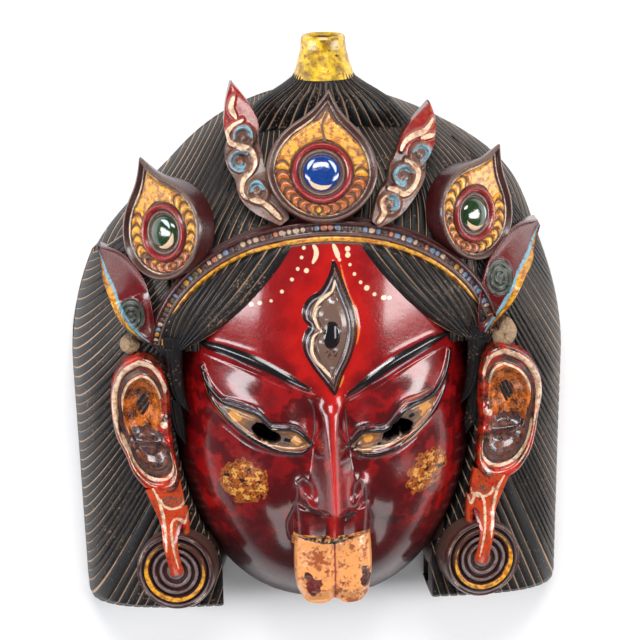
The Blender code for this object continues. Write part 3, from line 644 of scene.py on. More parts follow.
def makeWing(side, materials):
    # Front hair, from under the band down to the temple
    strands = wing["strands"]
    sheet = Sheet("left_front_hair" if side < 0 else "right_front_hair", wing["columns"],
                  strands * pointsAcross)
    place, groove = strandPlaces(sheet.t, strands)
    angle = np.radians(mix(80, 10, place))
    startX = wing["inset"] * band["reachX"] * np.cos(angle)
    startY = band["centreY"] + wing["inset"] * band["reachY"] * np.sin(angle)
    endX, endY = mix(82, 97, place ** 0.7), mix(-5, -9, place)
    runX, runY = endX - startX, endY - startY
    length = np.maximum(np.hypot(runX, runY), 1e-6)
    bow = mix(7, -9, place ** 0.6) * 4 * sheet.s * (1 - sheet.s)
    x = startX + runX * sheet.s + runY / length * bow
    y = startY + runY * sheet.s - runX / length * bow
    depth = strandDetail(sheet, place, sheet.s * 90, groove, strands)
    border = smooth(place / 0.06)
    emerge = mix(0.35, 1, smooth(sheet.s / 0.07))
    sheet.place(side * x, y, frontHeight(x, y) + wing["rise"] * border * emerge - 0.6
                - wing["grooveDepth"] * depth)
    ride(sheet.finish(materials["hair"]))


locks = (
    {"name": "lock",
     "spine": ((91, 3, 7), (90.8, -14, 6), (89.6, -28, 5.4), (86.6, -38, 4), (81, -46.5, 0.4)),
     "rise": 4.4},
    {"name": "lower_lock",
     "spine": ((90.5, -38, 4.6), (89.4, -48, 4.8), (87.5, -58, 3.8), (84.5, -66.5, 0.4)), "rise": 3.4},
)


def makeLocks(side, materials):
    # Pointed blades of hair in front of the ear
    for lock in locks:
        sheet = Sheet(("left_" if side < 0 else "right_") + lock["name"], 34, 70)
        spine = curve(lock["spine"], 12)
        at = sheet.t * (len(spine) - 1)
        x, y, half = (np.interp(at, np.arange(len(spine)), spine[:, i]) for i in range(3))
        across = 2 * sheet.s - 1
        px = x + across * half
        groove = np.exp(-(np.abs(np.abs(across) - 0.36) / 0.09) ** 2)
        rise = lock["rise"] * (1 - np.abs(across) ** 2.4) ** 0.7 - 0.5 * groove
        sheet.place(side * px, y, frontHeight(px, y) + rise - 0.6)
        sheet.areas["hollow"] = 0.55 * groove
        sheet.areas["across"] = sheet.s * 12
        sheet.areas["run"] = y
        ride(sheet.finish(materials["hair"]))


# Ornament on the crown

def makeBand(materials):
    sheet = Sheet("crown_band", 26, 460)
    angle = np.radians(mix(7, 173, sheet.t))
    side = 2 * sheet.s - 1
    half = mix(band["endWidth"], band["width"], np.sin(angle) ** 0.8) / 2
    spotX, spotY = band["reachX"] * np.cos(angle), band["centreY"] + band["reachY"] * np.sin(angle)
    outX, outY = np.cos(angle) / band["reachX"], np.sin(angle) / band["reachY"]
    size = np.hypot(outX, outY)
    reach = half * np.clip(side * 1.08, -1, 1)
    x, y = spotX + outX / size * reach, spotY + outY / size * reach
    up = reach / half
    # From the lower edge: edge line, gold, dark line, taupe ridge, bead row, dark roll
    stops = np.array([(-1, 0.2), (-0.93, 2.4), (-0.8, 2.6), (-0.74, 1.6), (-0.66, 3.0), (-0.42, 3.6),
                      (-0.33, 1.8),
                      (-0.2, 3.6), (0.02, 3.8), (0.12, 2.0), (0.2, 1.6), (0.42, 1.6), (0.5, 2.4),
                      (0.62, 5.0),
                      (0.82, 5.6), (0.95, 3.4), (1, 0)])
    z = frontHeight(spotX, spotY) + np.interp(up, stops[:, 0], stops[:, 1])
    run = sheet.t * band["length"]
    bead = run / beads["spacing"] + 0.1 * np.sin(run * 0.9)
    number = np.floor(bead)
    inBead = np.hypot((bead - number - 0.5) * beads["spacing"], (up - beads["row"]) * half * 1.1)
    z = z + beads["rise"] * np.sqrt(np.maximum(0, 1 - (inBead / beads["radius"]) ** 2))
    z = z - 6 * (np.abs(side) > 0.93)
    sheet.place(x, y, z)
    kinds = np.mod(np.floor(np.sin(number * 78.233 + 1) * 437.5), 6)
    names = ("beadCream", "beadGold", "beadOrange", "beadBlue", "beadOlive", "beadCream")
    worn = 1.5 * (np.sin(number * 5.17) > 0.72)
    for kind, name in enumerate(names):
        sheet.paint(name, beads["paintRadius"] - inBead - worn, kinds == kind)

    def stripe(name, low, high):
        sheet.paint(name, np.minimum(up - low, high - up) * half)

    stripe("goldArea", -0.74, -0.36)
    sheet.paint("amberArea", np.minimum(up + 0.68, -0.36 - up) * half + 0.4 * waves(x, y, 5, 14) - 0.1)
    stripe("taupeArea", -0.24, -0.02)
    stripe("mauveArea", -0.06, 0.07)
    stripe("taupeArea", -0.92, -0.8)
    stripe("wallArea", 0.46, 1.1)
    shape = np.interp(up, stops[:, 0], stops[:, 1])
    sheet.areas["hollow"] = np.clip((2.6 - shape) / 1.6, 0, 1)
    ride(sheet.finish(materials["band"]))


petalShape = {"thickness": 11.0, "tip": 0.52, "backTip": 0.2}


def petalEdge(angle, radius, tip):
    off = np.abs((np.degrees(angle) - 90 + 180) % 360 - 180)
    return radius * (1 + tip * np.exp(-off / 11)) * (1 - 0.1 * np.maximum(0, -np.sin(angle)))


def makePetal(name, centre, radius, turn, lean, roll, jewel, scallops, materials):
    place = (Matrix.Translation(centre) @ Matrix.Rotation(math.radians(turn), 4, "Y")
             @ Matrix.Rotation(math.radians(-lean), 4, "X") @ Matrix.Rotation(math.radians(roll), 4, "Z"))
    sheet = Sheet(name, 264, 104)
    angle = 2 * math.pi * sheet.s - math.pi / 2
    tip = mix(petalShape["tip"], petalShape["backTip"], np.clip((sheet.t - 0.84) / 0.09, 0, 1))
    edge = petalEdge(angle, radius, tip)
    # Up the sheet: front from middle to rim, side wall, back from rim to middle
    out = np.interp(sheet.t, [0, 0.8, 0.84, 0.93, 0.94, 1], [0, 0.97, 1, 1, 1, 0])
    reach = out * mix(radius, edge, smooth((out - 0.48) / 0.42))
    px, py = reach * np.cos(angle), reach * np.sin(angle)
    inner = reach / radius
    profile = np.array([(0, 0), (0.32, 0), (0.345, -1.0), (0.38, 0.5), (0.41, 0.4), (0.425, -0.6),
                        (0.46, 1.6),
                        (0.51, 2.2), (0.55, 0.9), (0.57, -0.7), (0.6, 0), (2, 0)])
    z = np.interp(inner, profile[:, 0], profile[:, 1])
    rim = np.interp(out, [0, 0.8, 0.83, 0.86, 0.885, 0.9, 0.95, 0.985, 1],
                    [0, 0, -0.9, 0.8, 0.3, 1.6, 3.2, 2.6, 0.8])
    z = z + rim
    # Scallops in the field between the ring and the rim
    field = np.clip((out - 0.59) / (0.82 - 0.59), 0, 1)
    inField = (out > 0.585) & (out < 0.83)
    tipOff = (np.degrees(angle) - 90 + 180) % 360 - 180
    wedge = 34 if scallops == "side" else 72
    cells = 11 if scallops == "side" else 13
    cell = np.abs(tipOff) / 360 * 2 * cells + 0.42 * (1 - (2 * field - 1) ** 2)
    phase = cell - np.floor(cell)
    curved = np.where(inField & (np.abs(tipOff) > wedge),
                      np.exp(-(np.minimum(phase, 1 - phase) / 0.17) ** 2), 0)
    z = z - 1.1 * curved + np.where(inField & (np.abs(tipOff) > wedge), 0.7 * np.sin(np.pi * phase), 0)
    front = sheet.t <= 0.84
    z = np.where(front, z, mix(0.8, -petalShape["thickness"], np.clip((sheet.t - 0.84) / 0.09, 0, 1)))
    # The split flame that rises to the tip
    if scallops == "middle":
        tongues = (((0, 0.62), (-2, 0.86), (0.5, 1.12), (0, 1.3)),
                   ((-7, 0.92), (-3, 1.02), (-1, 1.2)), ((7, 0.92), (3.5, 1.02), (1, 1.2)))
        gaps = [nearPath(px, py, curve([(at, radius * up) for at, up in line]))[0] for line in tongues]
        carve = np.exp(-(np.minimum.reduce(gaps) / 0.9) ** 2) * front
        z = z - carve
    else:
        carve = 0 * z
    dome = np.clip(inner / 0.33, 0, 1)
    sheet.paint("wallArea", 3.0, sheet.t > 0.835)
    onField = np.where(front, np.minimum(out - 0.585, 0.83 - out) * radius, noPaint)
    upper = (py / radius + 0.25) * 6
    patch = 2.6 * waves(px, py, 4, 14) + 1.2 * waves(px, py, 9, 5)
    bright = np.where(np.abs(tipOff) < wedge + 18, 4.0, np.where(scallops == "side", upper + 1, upper - 3))
    sheet.paint("amberArea", np.minimum(onField, 1.5 - bright * 0.5 + patch))
    sheet.paint("goldArea", np.minimum(onField, bright + patch))
    if scallops == "middle":
        sheet.paint("goldArea", np.minimum(onField, 5 - np.hypot(px, (py + radius * 0.78))))
    sheet.areas["amberArea"] = np.where(sheet.areas["goldArea"] > 0, noPaint, sheet.areas["amberArea"])
    sheet.paint("inkArea", curved * 3 - 1.6, inField)
    sheet.paint("inkArea", carve * 3 - 1.9, front)
    sheet.paint("taupeArea", 1.1 - np.abs(inner - 0.375) * radius, front)
    sheet.paint("taupeArea", 0.7 - np.abs(out - 0.965) * radius, front)
    sheet.paint("redArea", 1.7 - np.abs(inner - 0.49) * radius, front)
    # Painted highlight along the rim's small ridge: a thin mauve line, in cream where it is lit
    sheet.paint("mauveArea", 0.55 - np.abs(out - 0.862) * radius, front)
    lit = waves(px, py, 8, 30)
    sheet.paint("creamArea", 0.1 + 0.5 * lit - np.abs(out - 0.862) * radius, front)
    sheet.paint("creamArea", 0.6 * lit - 0.1 - np.abs(inner - 0.462) * radius, front)
    deep = np.maximum(curved, carve) * 0.8 + (z < -0.3) * 0.5
    sheet.areas["hollow"] = np.clip(np.where(front, deep, 0.15), 0, 1)
    sheet.placeIn(place, px, py, z)
    ride(sheet.finish(materials["petal"], closeSeam=True))

    gem = Sheet(name + "_jewel", 72, 30)
    turnAngle = 2 * math.pi * gem.s
    out = np.sin(gem.t * np.pi / 2)
    size = radius * 0.335
    gx, gy = size * out * np.cos(turnAngle), size * out * np.sin(turnAngle)
    gz = 4.6 * np.sqrt(np.maximum(0, 1 - out ** 2.4)) - 0.8
    low = np.degrees(np.arctan2(gy, gx))
    bow = 28 if scallops == "middle" else 30
    middleAngle = -98 if scallops == "middle" else -72
    off = np.abs((low - middleAngle + 180) % 360 - 180)
    gem.paint("creamArea", np.minimum(1.0 * (1 - (off / (bow * 1.9)) ** 2), 1) * 1.3
              - np.abs(out - 0.82) * size)
    glint = np.abs((low - 35 + 180) % 360 - 180)
    gem.paint("glintArea", (1 - (glint / 34) ** 2) * 1.0 - np.abs(out - 0.72) * size)
    if scallops == "middle":
        glint = np.abs((low - 150 + 180) % 360 - 180)
        gem.paint("glintArea", (1 - (glint / 26) ** 2) * 1.0 - np.abs(out - 0.78) * size)
    gem.placeIn(place, gx, gy, gz)
    ride(gem.finish(materials[jewel], closeSeam=True))


petals = (
    {"name": "middle_petal", "centre": (-1.5, 100.7, 92), "radius": 32.5, "turn": 0, "lean": 18, "roll": -7,
     "jewel": "blue jewel", "scallops": "middle"},
    {"name": "left_petal", "centre": (-93.6, 64.6, 72), "radius": 31, "turn": -44, "lean": 6, "roll": 25,
     "jewel": "green jewel", "scallops": "side"},
    {"name": "right_petal", "centre": (89.5, 69, 71), "radius": 30, "turn": 38, "lean": 6, "roll": -32,
     "jewel": "green jewel", "scallops": "side"},
)


def ringSection(share):
    # Runs round a strip's section: front from left to right, right wall, back, left wall
    side = np.interp(share, [0, 0.76, 0.82, 0.94, 1], [-1, 1, 1, -1, -1])
    front = np.interp(share, [0, 0.76, 0.82, 0.94, 1], [1, 1, 0, 0, 1])
    return side, front


def makeStrip(name, spine, columns, rows, thickness, crest):
    # Closed strip along a spine of (x, y, depth, half width)
    sheet = Sheet(name, columns, rows)
    side, front = ringSection(sheet.s)
    path = curve(spine, 16)
    at = sheet.t * (len(path) - 1)
    steps = np.arange(len(path))
    cx, cy, depth, half = (np.interp(at, steps, path[:, i]) for i in range(4))
    run = np.gradient(path[:, :2], axis=0)
    rx, ry = np.interp(at, steps, run[:, 0]), np.interp(at, steps, run[:, 1])
    size = np.maximum(np.hypot(rx, ry), 1e-6)
    x, y = cx + ry / size * side * half, cy - rx / size * side * half
    sheet.side, sheet.front = side, front
    sheet.place(x, y, depth + np.where(front > 0.99, crest(side, sheet.t), -thickness * (1 - front)))
    return sheet


flames = (
    {"name": "left_flame",
     "spine": ((-51, 149, 55, 0.6), (-49, 139, 60, 6), (-46.5, 127, 65, 10), (-45.5, 117, 70, 9.4),
               (-45.5, 108, 74, 11),
               (-42.5, 99, 79, 9.4), (-39, 90, 86, 10.5), (-31, 82, 91, 9), (-24, 73, 95, 3.5)),
     "cream": (((-45.5, 129), (-51.5, 126), (-55, 121.5), (-53.5, 117), (-47, 114.5), (-41.5, 112.5),
                (-39.5, 106),
                (-42.5, 100.5), (-46.5, 96.5), (-48, 90), (-45.5, 86.5)),
               ((-43, 86), (-36.5, 84.5), (-31, 80), (-26.5, 75.5)),
               # This cream line down the tip is a painted highlight
               ((-50, 142), (-52, 136), (-49.5, 130.5))),
     "curls": (((-50.5, 119.5), (-49, 123.5), (-45, 125), (-42, 123.5), (-41, 120)),
               ((-44, 111), (-48.5, 111.5), (-52.5, 108.5), (-52.5, 104), (-48.5, 102), (-45.5, 104.5)),
               ((-42.5, 90.5), (-41.5, 93.5), (-38.5, 95), (-35.5, 92))),
     "eyes": ((-45.5, 119.5), (-48, 106.5), (-39, 90))},
    {"name": "right_flame",
     "spine": ((66, 133, 52, 0.6), (63, 124, 60, 6.5), (57, 113, 69, 10), (52.5, 105, 74, 9.4),
               (49.5, 97, 79, 11),
               (45, 88, 86, 9.4), (39.5, 82, 90, 9.4), (34.5, 76, 93, 7), (29, 70, 96, 3)),
     "cream": (((67, 125), (62, 119.5), (54, 117), (49, 114), (46.5, 109.5)),
               ((67, 116.5), (63, 116), (59.5, 115.5)),
               ((49, 104), (53.5, 101.5), (56, 96.5), (53, 90), (47, 86), (41.5, 89), (37.5, 90)),
               ((36, 86), (33, 83), (34, 76.5), (30.5, 71.5))),
     "curls": (((54, 108.5), (57.5, 111), (62, 109.5), (62.5, 105.5), (58.5, 102.5)),
               ((51.5, 97.5), (47.5, 100.5), (43, 98.5), (42.5, 94.5), (46, 91.5), (49, 94)),
               ((37.5, 85), (41.5, 84), (42, 80), (39, 78))),
     "eyes": ((58, 106.5), (47.5, 95.5), (38, 81.5))},
)


def makeFlame(flame, materials):
    sheet = makeStrip(flame["name"], flame["spine"], 96, 160, 12, lambda side, t: 1.2 * (1 - side * side))
    onTop = sheet.front > 0.99
    top = flame["spine"][2][1]
    sheet.paint("taupeArea", (top - 20 - sheet.y) * 0.4 + 2 * waves(sheet.x, sheet.y, 2, 14),
                sheet.front > 0.6)
    sheet.paint("redArea", (sheet.y - top + 5) * 0.6 + 1.2 * waves(sheet.x, sheet.y, 2, 12),
                sheet.front > 0.6)
    lift = 0 * sheet.z
    for eye in flame["eyes"]:
        away = np.hypot(sheet.x - eye[0], sheet.y - eye[1])
        sheet.paint("taupeArea", 7.2 - away, onTop)
        lift = lift + 2.2 * np.exp(-((away - 5.8) / 1.3) ** 2) - 1.2 * np.exp(-((away - 3.4) / 0.9) ** 2)
        lift = lift + 1.6 * np.exp(-(away / 2.2) ** 2)
    for lines, name, taper, rise, width in (("cream", "creamArea", 0.4, 2.0, 0.8),
                                            ("curls", "blueArea", 0.5, 1.3, 0.7)):
        for line in flame[lines]:
            depth = sheet.stroke(None, line, 3.0, taper=taper)
            sheet.paint(name, depth, onTop)
            lift = lift + rise * overLine(depth, width)
    sheet.z = sheet.z + np.where(onTop, lift * smooth((1 - np.abs(sheet.side)) / 0.12), 0)
    sheet.areas["hollow"] = np.where(onTop, np.clip(0.5 - lift * 0.5, 0, 1), 0.3) * (sheet.y < top - 2)
    ride(sheet.finish(materials["flame"], closeSeam=True))


leaves = (
    {"name": "left_leaf", "curl": (-114.5, 15.5), "side": -1,
     "spine": ((-131.5, 48, 29, 1.5), (-124, 42, 49, 9), (-117, 32, 64, 11.5), (-112, 18, 72, 10.5),
               (-106, 6, 74, 6), (-103, 1, 74, 2))},
    {"name": "right_leaf", "curl": (104, 31), "side": 1,
     "spine": ((134, 54, 25, 1.5), (121, 48, 51, 10.5), (109, 36, 68, 12), (101, 20, 76, 10),
               (95, 6, 77, 5), (93, 0, 77, 2))},
)


def makeLeaf(leaf, materials):
    side = leaf["side"]

    def crest(across, t):
        bowl = (1 - across ** 4) * (0.25 + 0.75 * np.abs(np.sin(np.pi * (t * 1.9 + 0.08))))
        return 5.5 - 7 * bowl

    sheet = makeStrip(leaf["name"], leaf["spine"], 90, 150, 14, crest)
    onTop = sheet.front > 0.99
    outward = -sheet.side * side
    sheet.paint("redArea", (0.62 - outward) * 8, onTop)
    sheet.paint("blueArea", 1.0 - np.abs(outward - 0.66) * 9, onTop)
    sheet.paint("goldArea", 1.1 - np.abs(outward - 0.86) * 9 - 4 * np.abs(sheet.t - 0.42) + 0.6, onTop)
    away = np.hypot(sheet.x - leaf["curl"][0], (sheet.y - leaf["curl"][1]) * 0.8)
    sheet.paint("curlArea", 8 - away, onTop & (away < 8.5))
    sheet.paint("inkArea", np.cos(away * 2 * np.pi / 2.8) * 1.2 - 0.5, onTop & (away < 8.5))
    sheet.z = sheet.z + np.where(onTop, 0.6 * np.cos(away * 2 * np.pi / 2.8) * (away < 8.5) * 1.4, 0)
    inBowl = 0.5 * smooth((away - 8) / 3) * (crest(sheet.side, sheet.t) < -0.4)
    sheet.areas["hollow"] = np.where(onTop, np.clip(inBowl, 0, 1), 0.3)
    ride(sheet.finish(materials["leaf"], closeSeam=True))


# Ears: an outline, and a section from its rim to its middle

ears = (
    {"name": "left_ear", "side": -1, "middle": (-110, -50), "outline": (
        (-111, -7), (-121.8, -14.7), (-127.6, -28.7), (-128.1, -45.2), (-126.1, -59.8), (-120.5, -72.7),
        (-116.1, -84.8), (-108, -94.3), (-100.3, -97.4), (-91.8, -95.7), (-88, -87.4), (-90.2, -73.8),
        (-92.6, -54.8), (-93, -33.3), (-96.5, -19.2), (-103.1, -9.6))},
    {"name": "right_ear", "side": 1, "middle": (110, -50), "outline": (
        (105.6, -7.8), (119.5, -15.6), (128.5, -28.6), (131, -42.5), (128.6, -57), (126.7, -69.9),
        (123.3, -81.5), (115.6, -92.1), (106.1, -96.2), (96.2, -95.5), (90, -87.3), (90, -75.1),
        (91.4, -60.1), (90.5, -41.1), (91.8, -21.6), (96.5, -11))},
)


def makeEar(ear, materials):
    side = ear["side"]
    middle = ear["middle"]
    outline = curve([*ear["outline"], ear["outline"][0]], 10) - np.array(middle)
    outline[:, 0] *= side
    angles = np.unwrap(np.arctan2(outline[:, 1], outline[:, 0]))
    order = np.argsort(angles)
    radii = np.hypot(outline[:, 0], outline[:, 1])
    sheet = Sheet(ear["name"], 180, 90)
    angle = 2 * math.pi * sheet.s
    table = np.concatenate([angles[order] - 2 * math.pi, angles[order], angles[order] + 2 * math.pi])
    edge = np.interp(angle, table, np.tile(radii[order], 3))
    out = np.interp(sheet.t, [0, 0.9, 1], [0, 1, 1.0])
    up = np.sin(angle)
    # The rim is widest outside and above; the bowl sits towards the face
    shiftX, shiftY = -1.5 * (1 - out), 3 * (1 - out)
    ex, ey = out * edge * np.cos(angle) + shiftX, out * edge * np.sin(angle) + shiftY
    towardsFace = smooth((-np.cos(angle) - 0.35) / 0.5)
    rim = np.interp(out, [0, 0.3, 0.5, 0.58, 0.64, 0.7, 0.78, 0.85, 0.92, 0.97, 1],
                    [2.5, 3.5, 6.5, 9.5, 10.5, 8.0, 8.6, 12.2, 13.4, 12.0, 6.5])
    plain = np.interp(out, [0, 0.5, 0.7, 0.85, 1], [3, 6.5, 9.5, 9.5, 5])
    rise = mix(rim, plain, towardsFace * 0.85)
    tragus = 5.5 * np.exp(-(((ex + 12.5) / 5) ** 2 + ((ey + 3) / 5) ** 2))
    fold = 4.5 * np.exp(-(((ex + 6) / 11) ** 2 + ((ey + 13) / 2.6) ** 2))
    upperBowl = -3.0 * np.exp(-(((ex + 1) / 10) ** 2 + ((ey - 14) / 14) ** 2))
    rise = rise + tragus + fold + upperBowl
    x, y = side * ex + middle[0], ey + middle[1]
    ground = hairHeight(np.abs(x), y)
    wall = np.clip((sheet.t - 0.9) / 0.1, 0, 1)
    sheet.place(x, y, ground + rise - 18 * wall)
    sheet.paint("darkArea", mix(2.6, 1.4, smooth(up + 0.5)) - np.abs(out - 0.72) * edge, towardsFace < 0.6)
    mottle = waves(ex, ey, 6, 15) + 0.6 * waves(ex, ey, 8, 6)
    bowl = (0.66 - out) * edge
    sheet.paint("conchaArea", bowl)
    sheet.paint("darkArea", np.minimum(bowl, 1.8 * (mottle - 0.3) - 0.36 * (ey + 4)))
    sheet.areas["conchaArea"] = np.where(sheet.areas["darkArea"] > 0.3, noPaint, sheet.areas["conchaArea"])
    sheet.paint("redArea", 3.4 - np.hypot(ex + 12.5, ey + 3.5))
    width = mix(0.4, 1.9, smooth(up * 0.8 + 0.5))
    sheet.paint("creamArea", width - np.abs(out - 0.875) * edge, towardsFace < 0.5)
    sheet.paint("creamArea", mix(-1.5, 0.75, smooth(up * 1.4)) - np.abs(out - 0.655) * edge,
                towardsFace < 0.6)
    sheet.paint("creamArea", mix(0.8, -2, smooth(up * 2 + 1.4)) - np.abs(out - 0.8) * edge,
                towardsFace < 0.6)
    # Painted highlight on the tragus, in cream
    sheet.paint("creamArea", np.minimum(1.4 - np.hypot(ex + 13, (ey + 1) * 1.2) * 0.7, 1))
    sheet.areas["hollow"] = np.clip(0.9 - np.abs(out - 0.72) * 12, 0, 1) * (1 - towardsFace)
    ride(sheet.finish(materials["ear"], closeSeam=True))


straps = (
    {"name": "left_strap", "side": -1, "disc": (-92.5, -144, 66),
     "cream": (((-106, -90), (-101.5, -99.5), (-98.5, -115), (-98, -130.5)),
               ((-84, -108), (-86.5, -114), (-89, -112), (-92, -111.5), (-94.5, -115), (-94, -127.5),
                (-91, -141.5)))},
    {"name": "right_strap", "side": 1, "disc": (92.5, -144, 66),
     "cream": (((107, -92), (102.5, -101), (99.5, -115), (98, -130)),
               ((84, -103), (86.5, -109), (89, -103.5), (92, -104), (94.5, -110), (94, -125),
                (91, -141.5)))},
)
strapSpine = ((99, -90, 11, 11), (95.5, -103, 11, 9.5), (94.5, -115, 12, 6.5), (95.5, -126, 16, 4.4),
              (93.5, -138, 15.5, 4),
              (91.5, -146, 13.5, 4.4))
stubSpine = ((88, -104, 10, 3.5), (86.5, -112, 10, 3), (85.5, -121, 10, 2.2))


def makeStraps(strap, materials):
    side = strap["side"]
    for name, spine in ((strap["name"], strapSpine), (strap["name"] + "_stub", stubSpine)):
        raised = [(side * x, y, float(hairHeight(np.array(x), np.array(y))) + depth, half) for x, y, depth,
                  half in spine]
        sheet = makeStrip(name, raised, 48, 90, 12, lambda across, t: 1.8 * (1 - across * across))
        onTop = sheet.front > 0.99
        for line in strap["cream"]:
            sheet.paint("creamArea", sheet.stroke(None, line, 1.8), onTop)
        away = np.hypot(sheet.x - side * 93, (sheet.y + 99.5) * 1.3)
        sheet.paint("darkArea", 7.0 - away, onTop & (sheet.y < -97))
        sheet.paint("creamArea", 0.9 - np.abs(7.2 - away), onTop & (sheet.y < -99))
        slit = np.hypot((sheet.x - side * 88.5) / 2.6, (sheet.y + 116.5) / 4.2)
        sheet.paint("inkArea", (1.15 - slit) * 2.6, onTop)
        sheet.areas["hollow"] = np.zeros_like(sheet.z)
        ride(sheet.finish(materials["ear"], closeSeam=True))


disc = {"radius": 24.0, "tilt": 12, "ringHeight": 2.2}


def makeDisc(strap, materials):
    side = strap["side"]
    name = "left_ear_disc" if side < 0 else "right_ear_disc"
    sheet = Sheet(name, 160, 110)
    angle = 2 * math.pi * sheet.s
    out = np.interp(sheet.t, [0, 0.86, 1], [0, 1, 1])
    wall = np.clip((sheet.t - 0.86) / 0.14, 0, 1)
    rings = np.array([(0, 0.9), (0.2, 1.1), (0.27, 0.1), (0.33, 1.3), (0.4, 1.3), (0.45, 0.1), (0.51, 1.5),
                      (0.58, 1.5),
                      (0.62, 0.2), (0.68, 1.8), (0.78, 1.9), (0.83, 0.2), (0.88, 1.5), (0.95, 1.5),
                      (0.99, 0.6), (1, 0)])
    shape = np.interp(out, rings[:, 0], rings[:, 1])
    px, py = disc["radius"] * out * np.cos(angle), disc["radius"] * out * np.sin(angle)
    pz = disc["ringHeight"] * shape - 44 * wall
    reach = out * disc["radius"]
    sheet.paint("wallArea", 3.0, sheet.t > 0.85)
    patchy = waves(px, py, 7, 16) + 0.5 * waves(px, py, 8, 7)
    for ring, half in ((0.12, 2.2), (0.365, 0.9), (0.545, 0.7), (0.87, 0.7)):
        sheet.paint("mauveArea", half + 0.5 * patchy - np.abs(out - ring) * disc["radius"])
    for ring in (0.27, 0.45, 0.62, 0.83):
        sheet.paint("inkArea", 0.45 - np.abs(out - ring) * disc["radius"])
    low = -np.sin(angle) * 0.9 + np.cos(angle) * 0.35 * side
    sheet.paint("goldArea", 0.6 + 0.9 * low - np.abs(out - 0.73) * disc["radius"] + 0.5 * patchy)
    sheet.paint("creamArea", 0.9 * waves(px, py, 9, 24) - 0.35 - np.abs(out - 0.93) * disc["radius"])
    sheet.areas["hollow"] = np.clip((0.8 - shape) * 1.3, 0, 1)
    x0, y0, z0 = strap["disc"]
    place = Matrix.Translation((x0, y0, z0)) @ Matrix.Rotation(math.radians(side * disc["tilt"]), 4, "Y")
    sheet.placeIn(place, px, py, pz, 1)
    ride(sheet.finish(materials["disc"], closeSeam=True))


knot = {
    "x": 4.5, "depth": 40.0, "topY": 174.0, "strands": 44,
    # Down from the bottom of the bore, over the rim and down the outside: share of the way, radius, step
    "collar": ((0, 0, -22), (0.12, 10, -22), (0.4, 10, -1.5), (0.46, 11.2, 0), (0.54, 12.4, 0),
               (0.6, 13.2, -1.6),
               (0.72, 13.6, -8), (1, 18, -25)),
    # Down the outside of the hair: step, half width, half depth and middle depth
    "flare": ((-21.5, 17, 17, 40), (-25, 19, 18.5, 39), (-29.5, 25, 20, 38), (-34, 32, 21, 36.5),
              (-39, 39, 20.5, 35), (-45, 45, 20, 34), (-56, 54, 17, 33), (-74, 66, 10, 32)),
}


def makeKnot(materials):
    sheet = Sheet("top_knot", 120, 60)
    angle = 2 * math.pi * sheet.s
    way = np.array(knot["collar"])
    uneven = 0.25 * waves(angle * 20, sheet.t * 60, 3, 30) * (sheet.t > 0.5)
    radius = np.interp(sheet.t, way[:, 0], way[:, 1]) + uneven
    down = np.interp(sheet.t, way[:, 0], way[:, 2])
    sheet.place(knot["x"] + radius * np.cos(angle), knot["topY"] + down,
                knot["depth"] + radius * np.sin(angle))
    sheet.paint("inkArea", 3.0, sheet.t < 0.4)
    chips = waves(np.cos(angle) * 14, down, 11, 9) - 0.75
    sheet.paint("hairArea", chips * 4, sheet.t > 0.4)
    sheet.areas["hollow"] = np.zeros_like(down)
    ride(sheet.finish(materials["knot"], closeSeam=True))

    strands = knot["strands"]
    sheet = Sheet("top_knot_hair", strands * pointsAcross, 44)
    place, groove = strandPlaces(sheet.s, strands)
    angle = 2 * math.pi * place
    flare = np.array(knot["flare"])
    down = mix(flare[0, 0], flare[-1, 0], sheet.t)
    wide, deep, middle = (np.interp(-down, -flare[:, 0], flare[:, i]) for i in (1, 2, 3))
    notch = groove * smooth(sheet.t / 0.04)
    sheet.place(knot["x"] + (wide - notch) * np.cos(angle), knot["topY"] + down,
                middle + (deep - notch) * np.sin(angle))
    strandDetail(sheet, place, down, groove, strands)
    ride(sheet.finish(materials["hair"], closeSeam=True))


# The face: one fine surface with the nose, lids and third eye worked into it

nose = {"rootY": -35.0, "footY": -108.0, "rootDepth": 105.0, "tipDepth": 134.0, "rootHalf": 9.0,
        "footHalf": 20.0}
lipBlock = {"halfWidth": 22.5, "topY": -97.0, "footY": -118.0, "rise": 9.0}

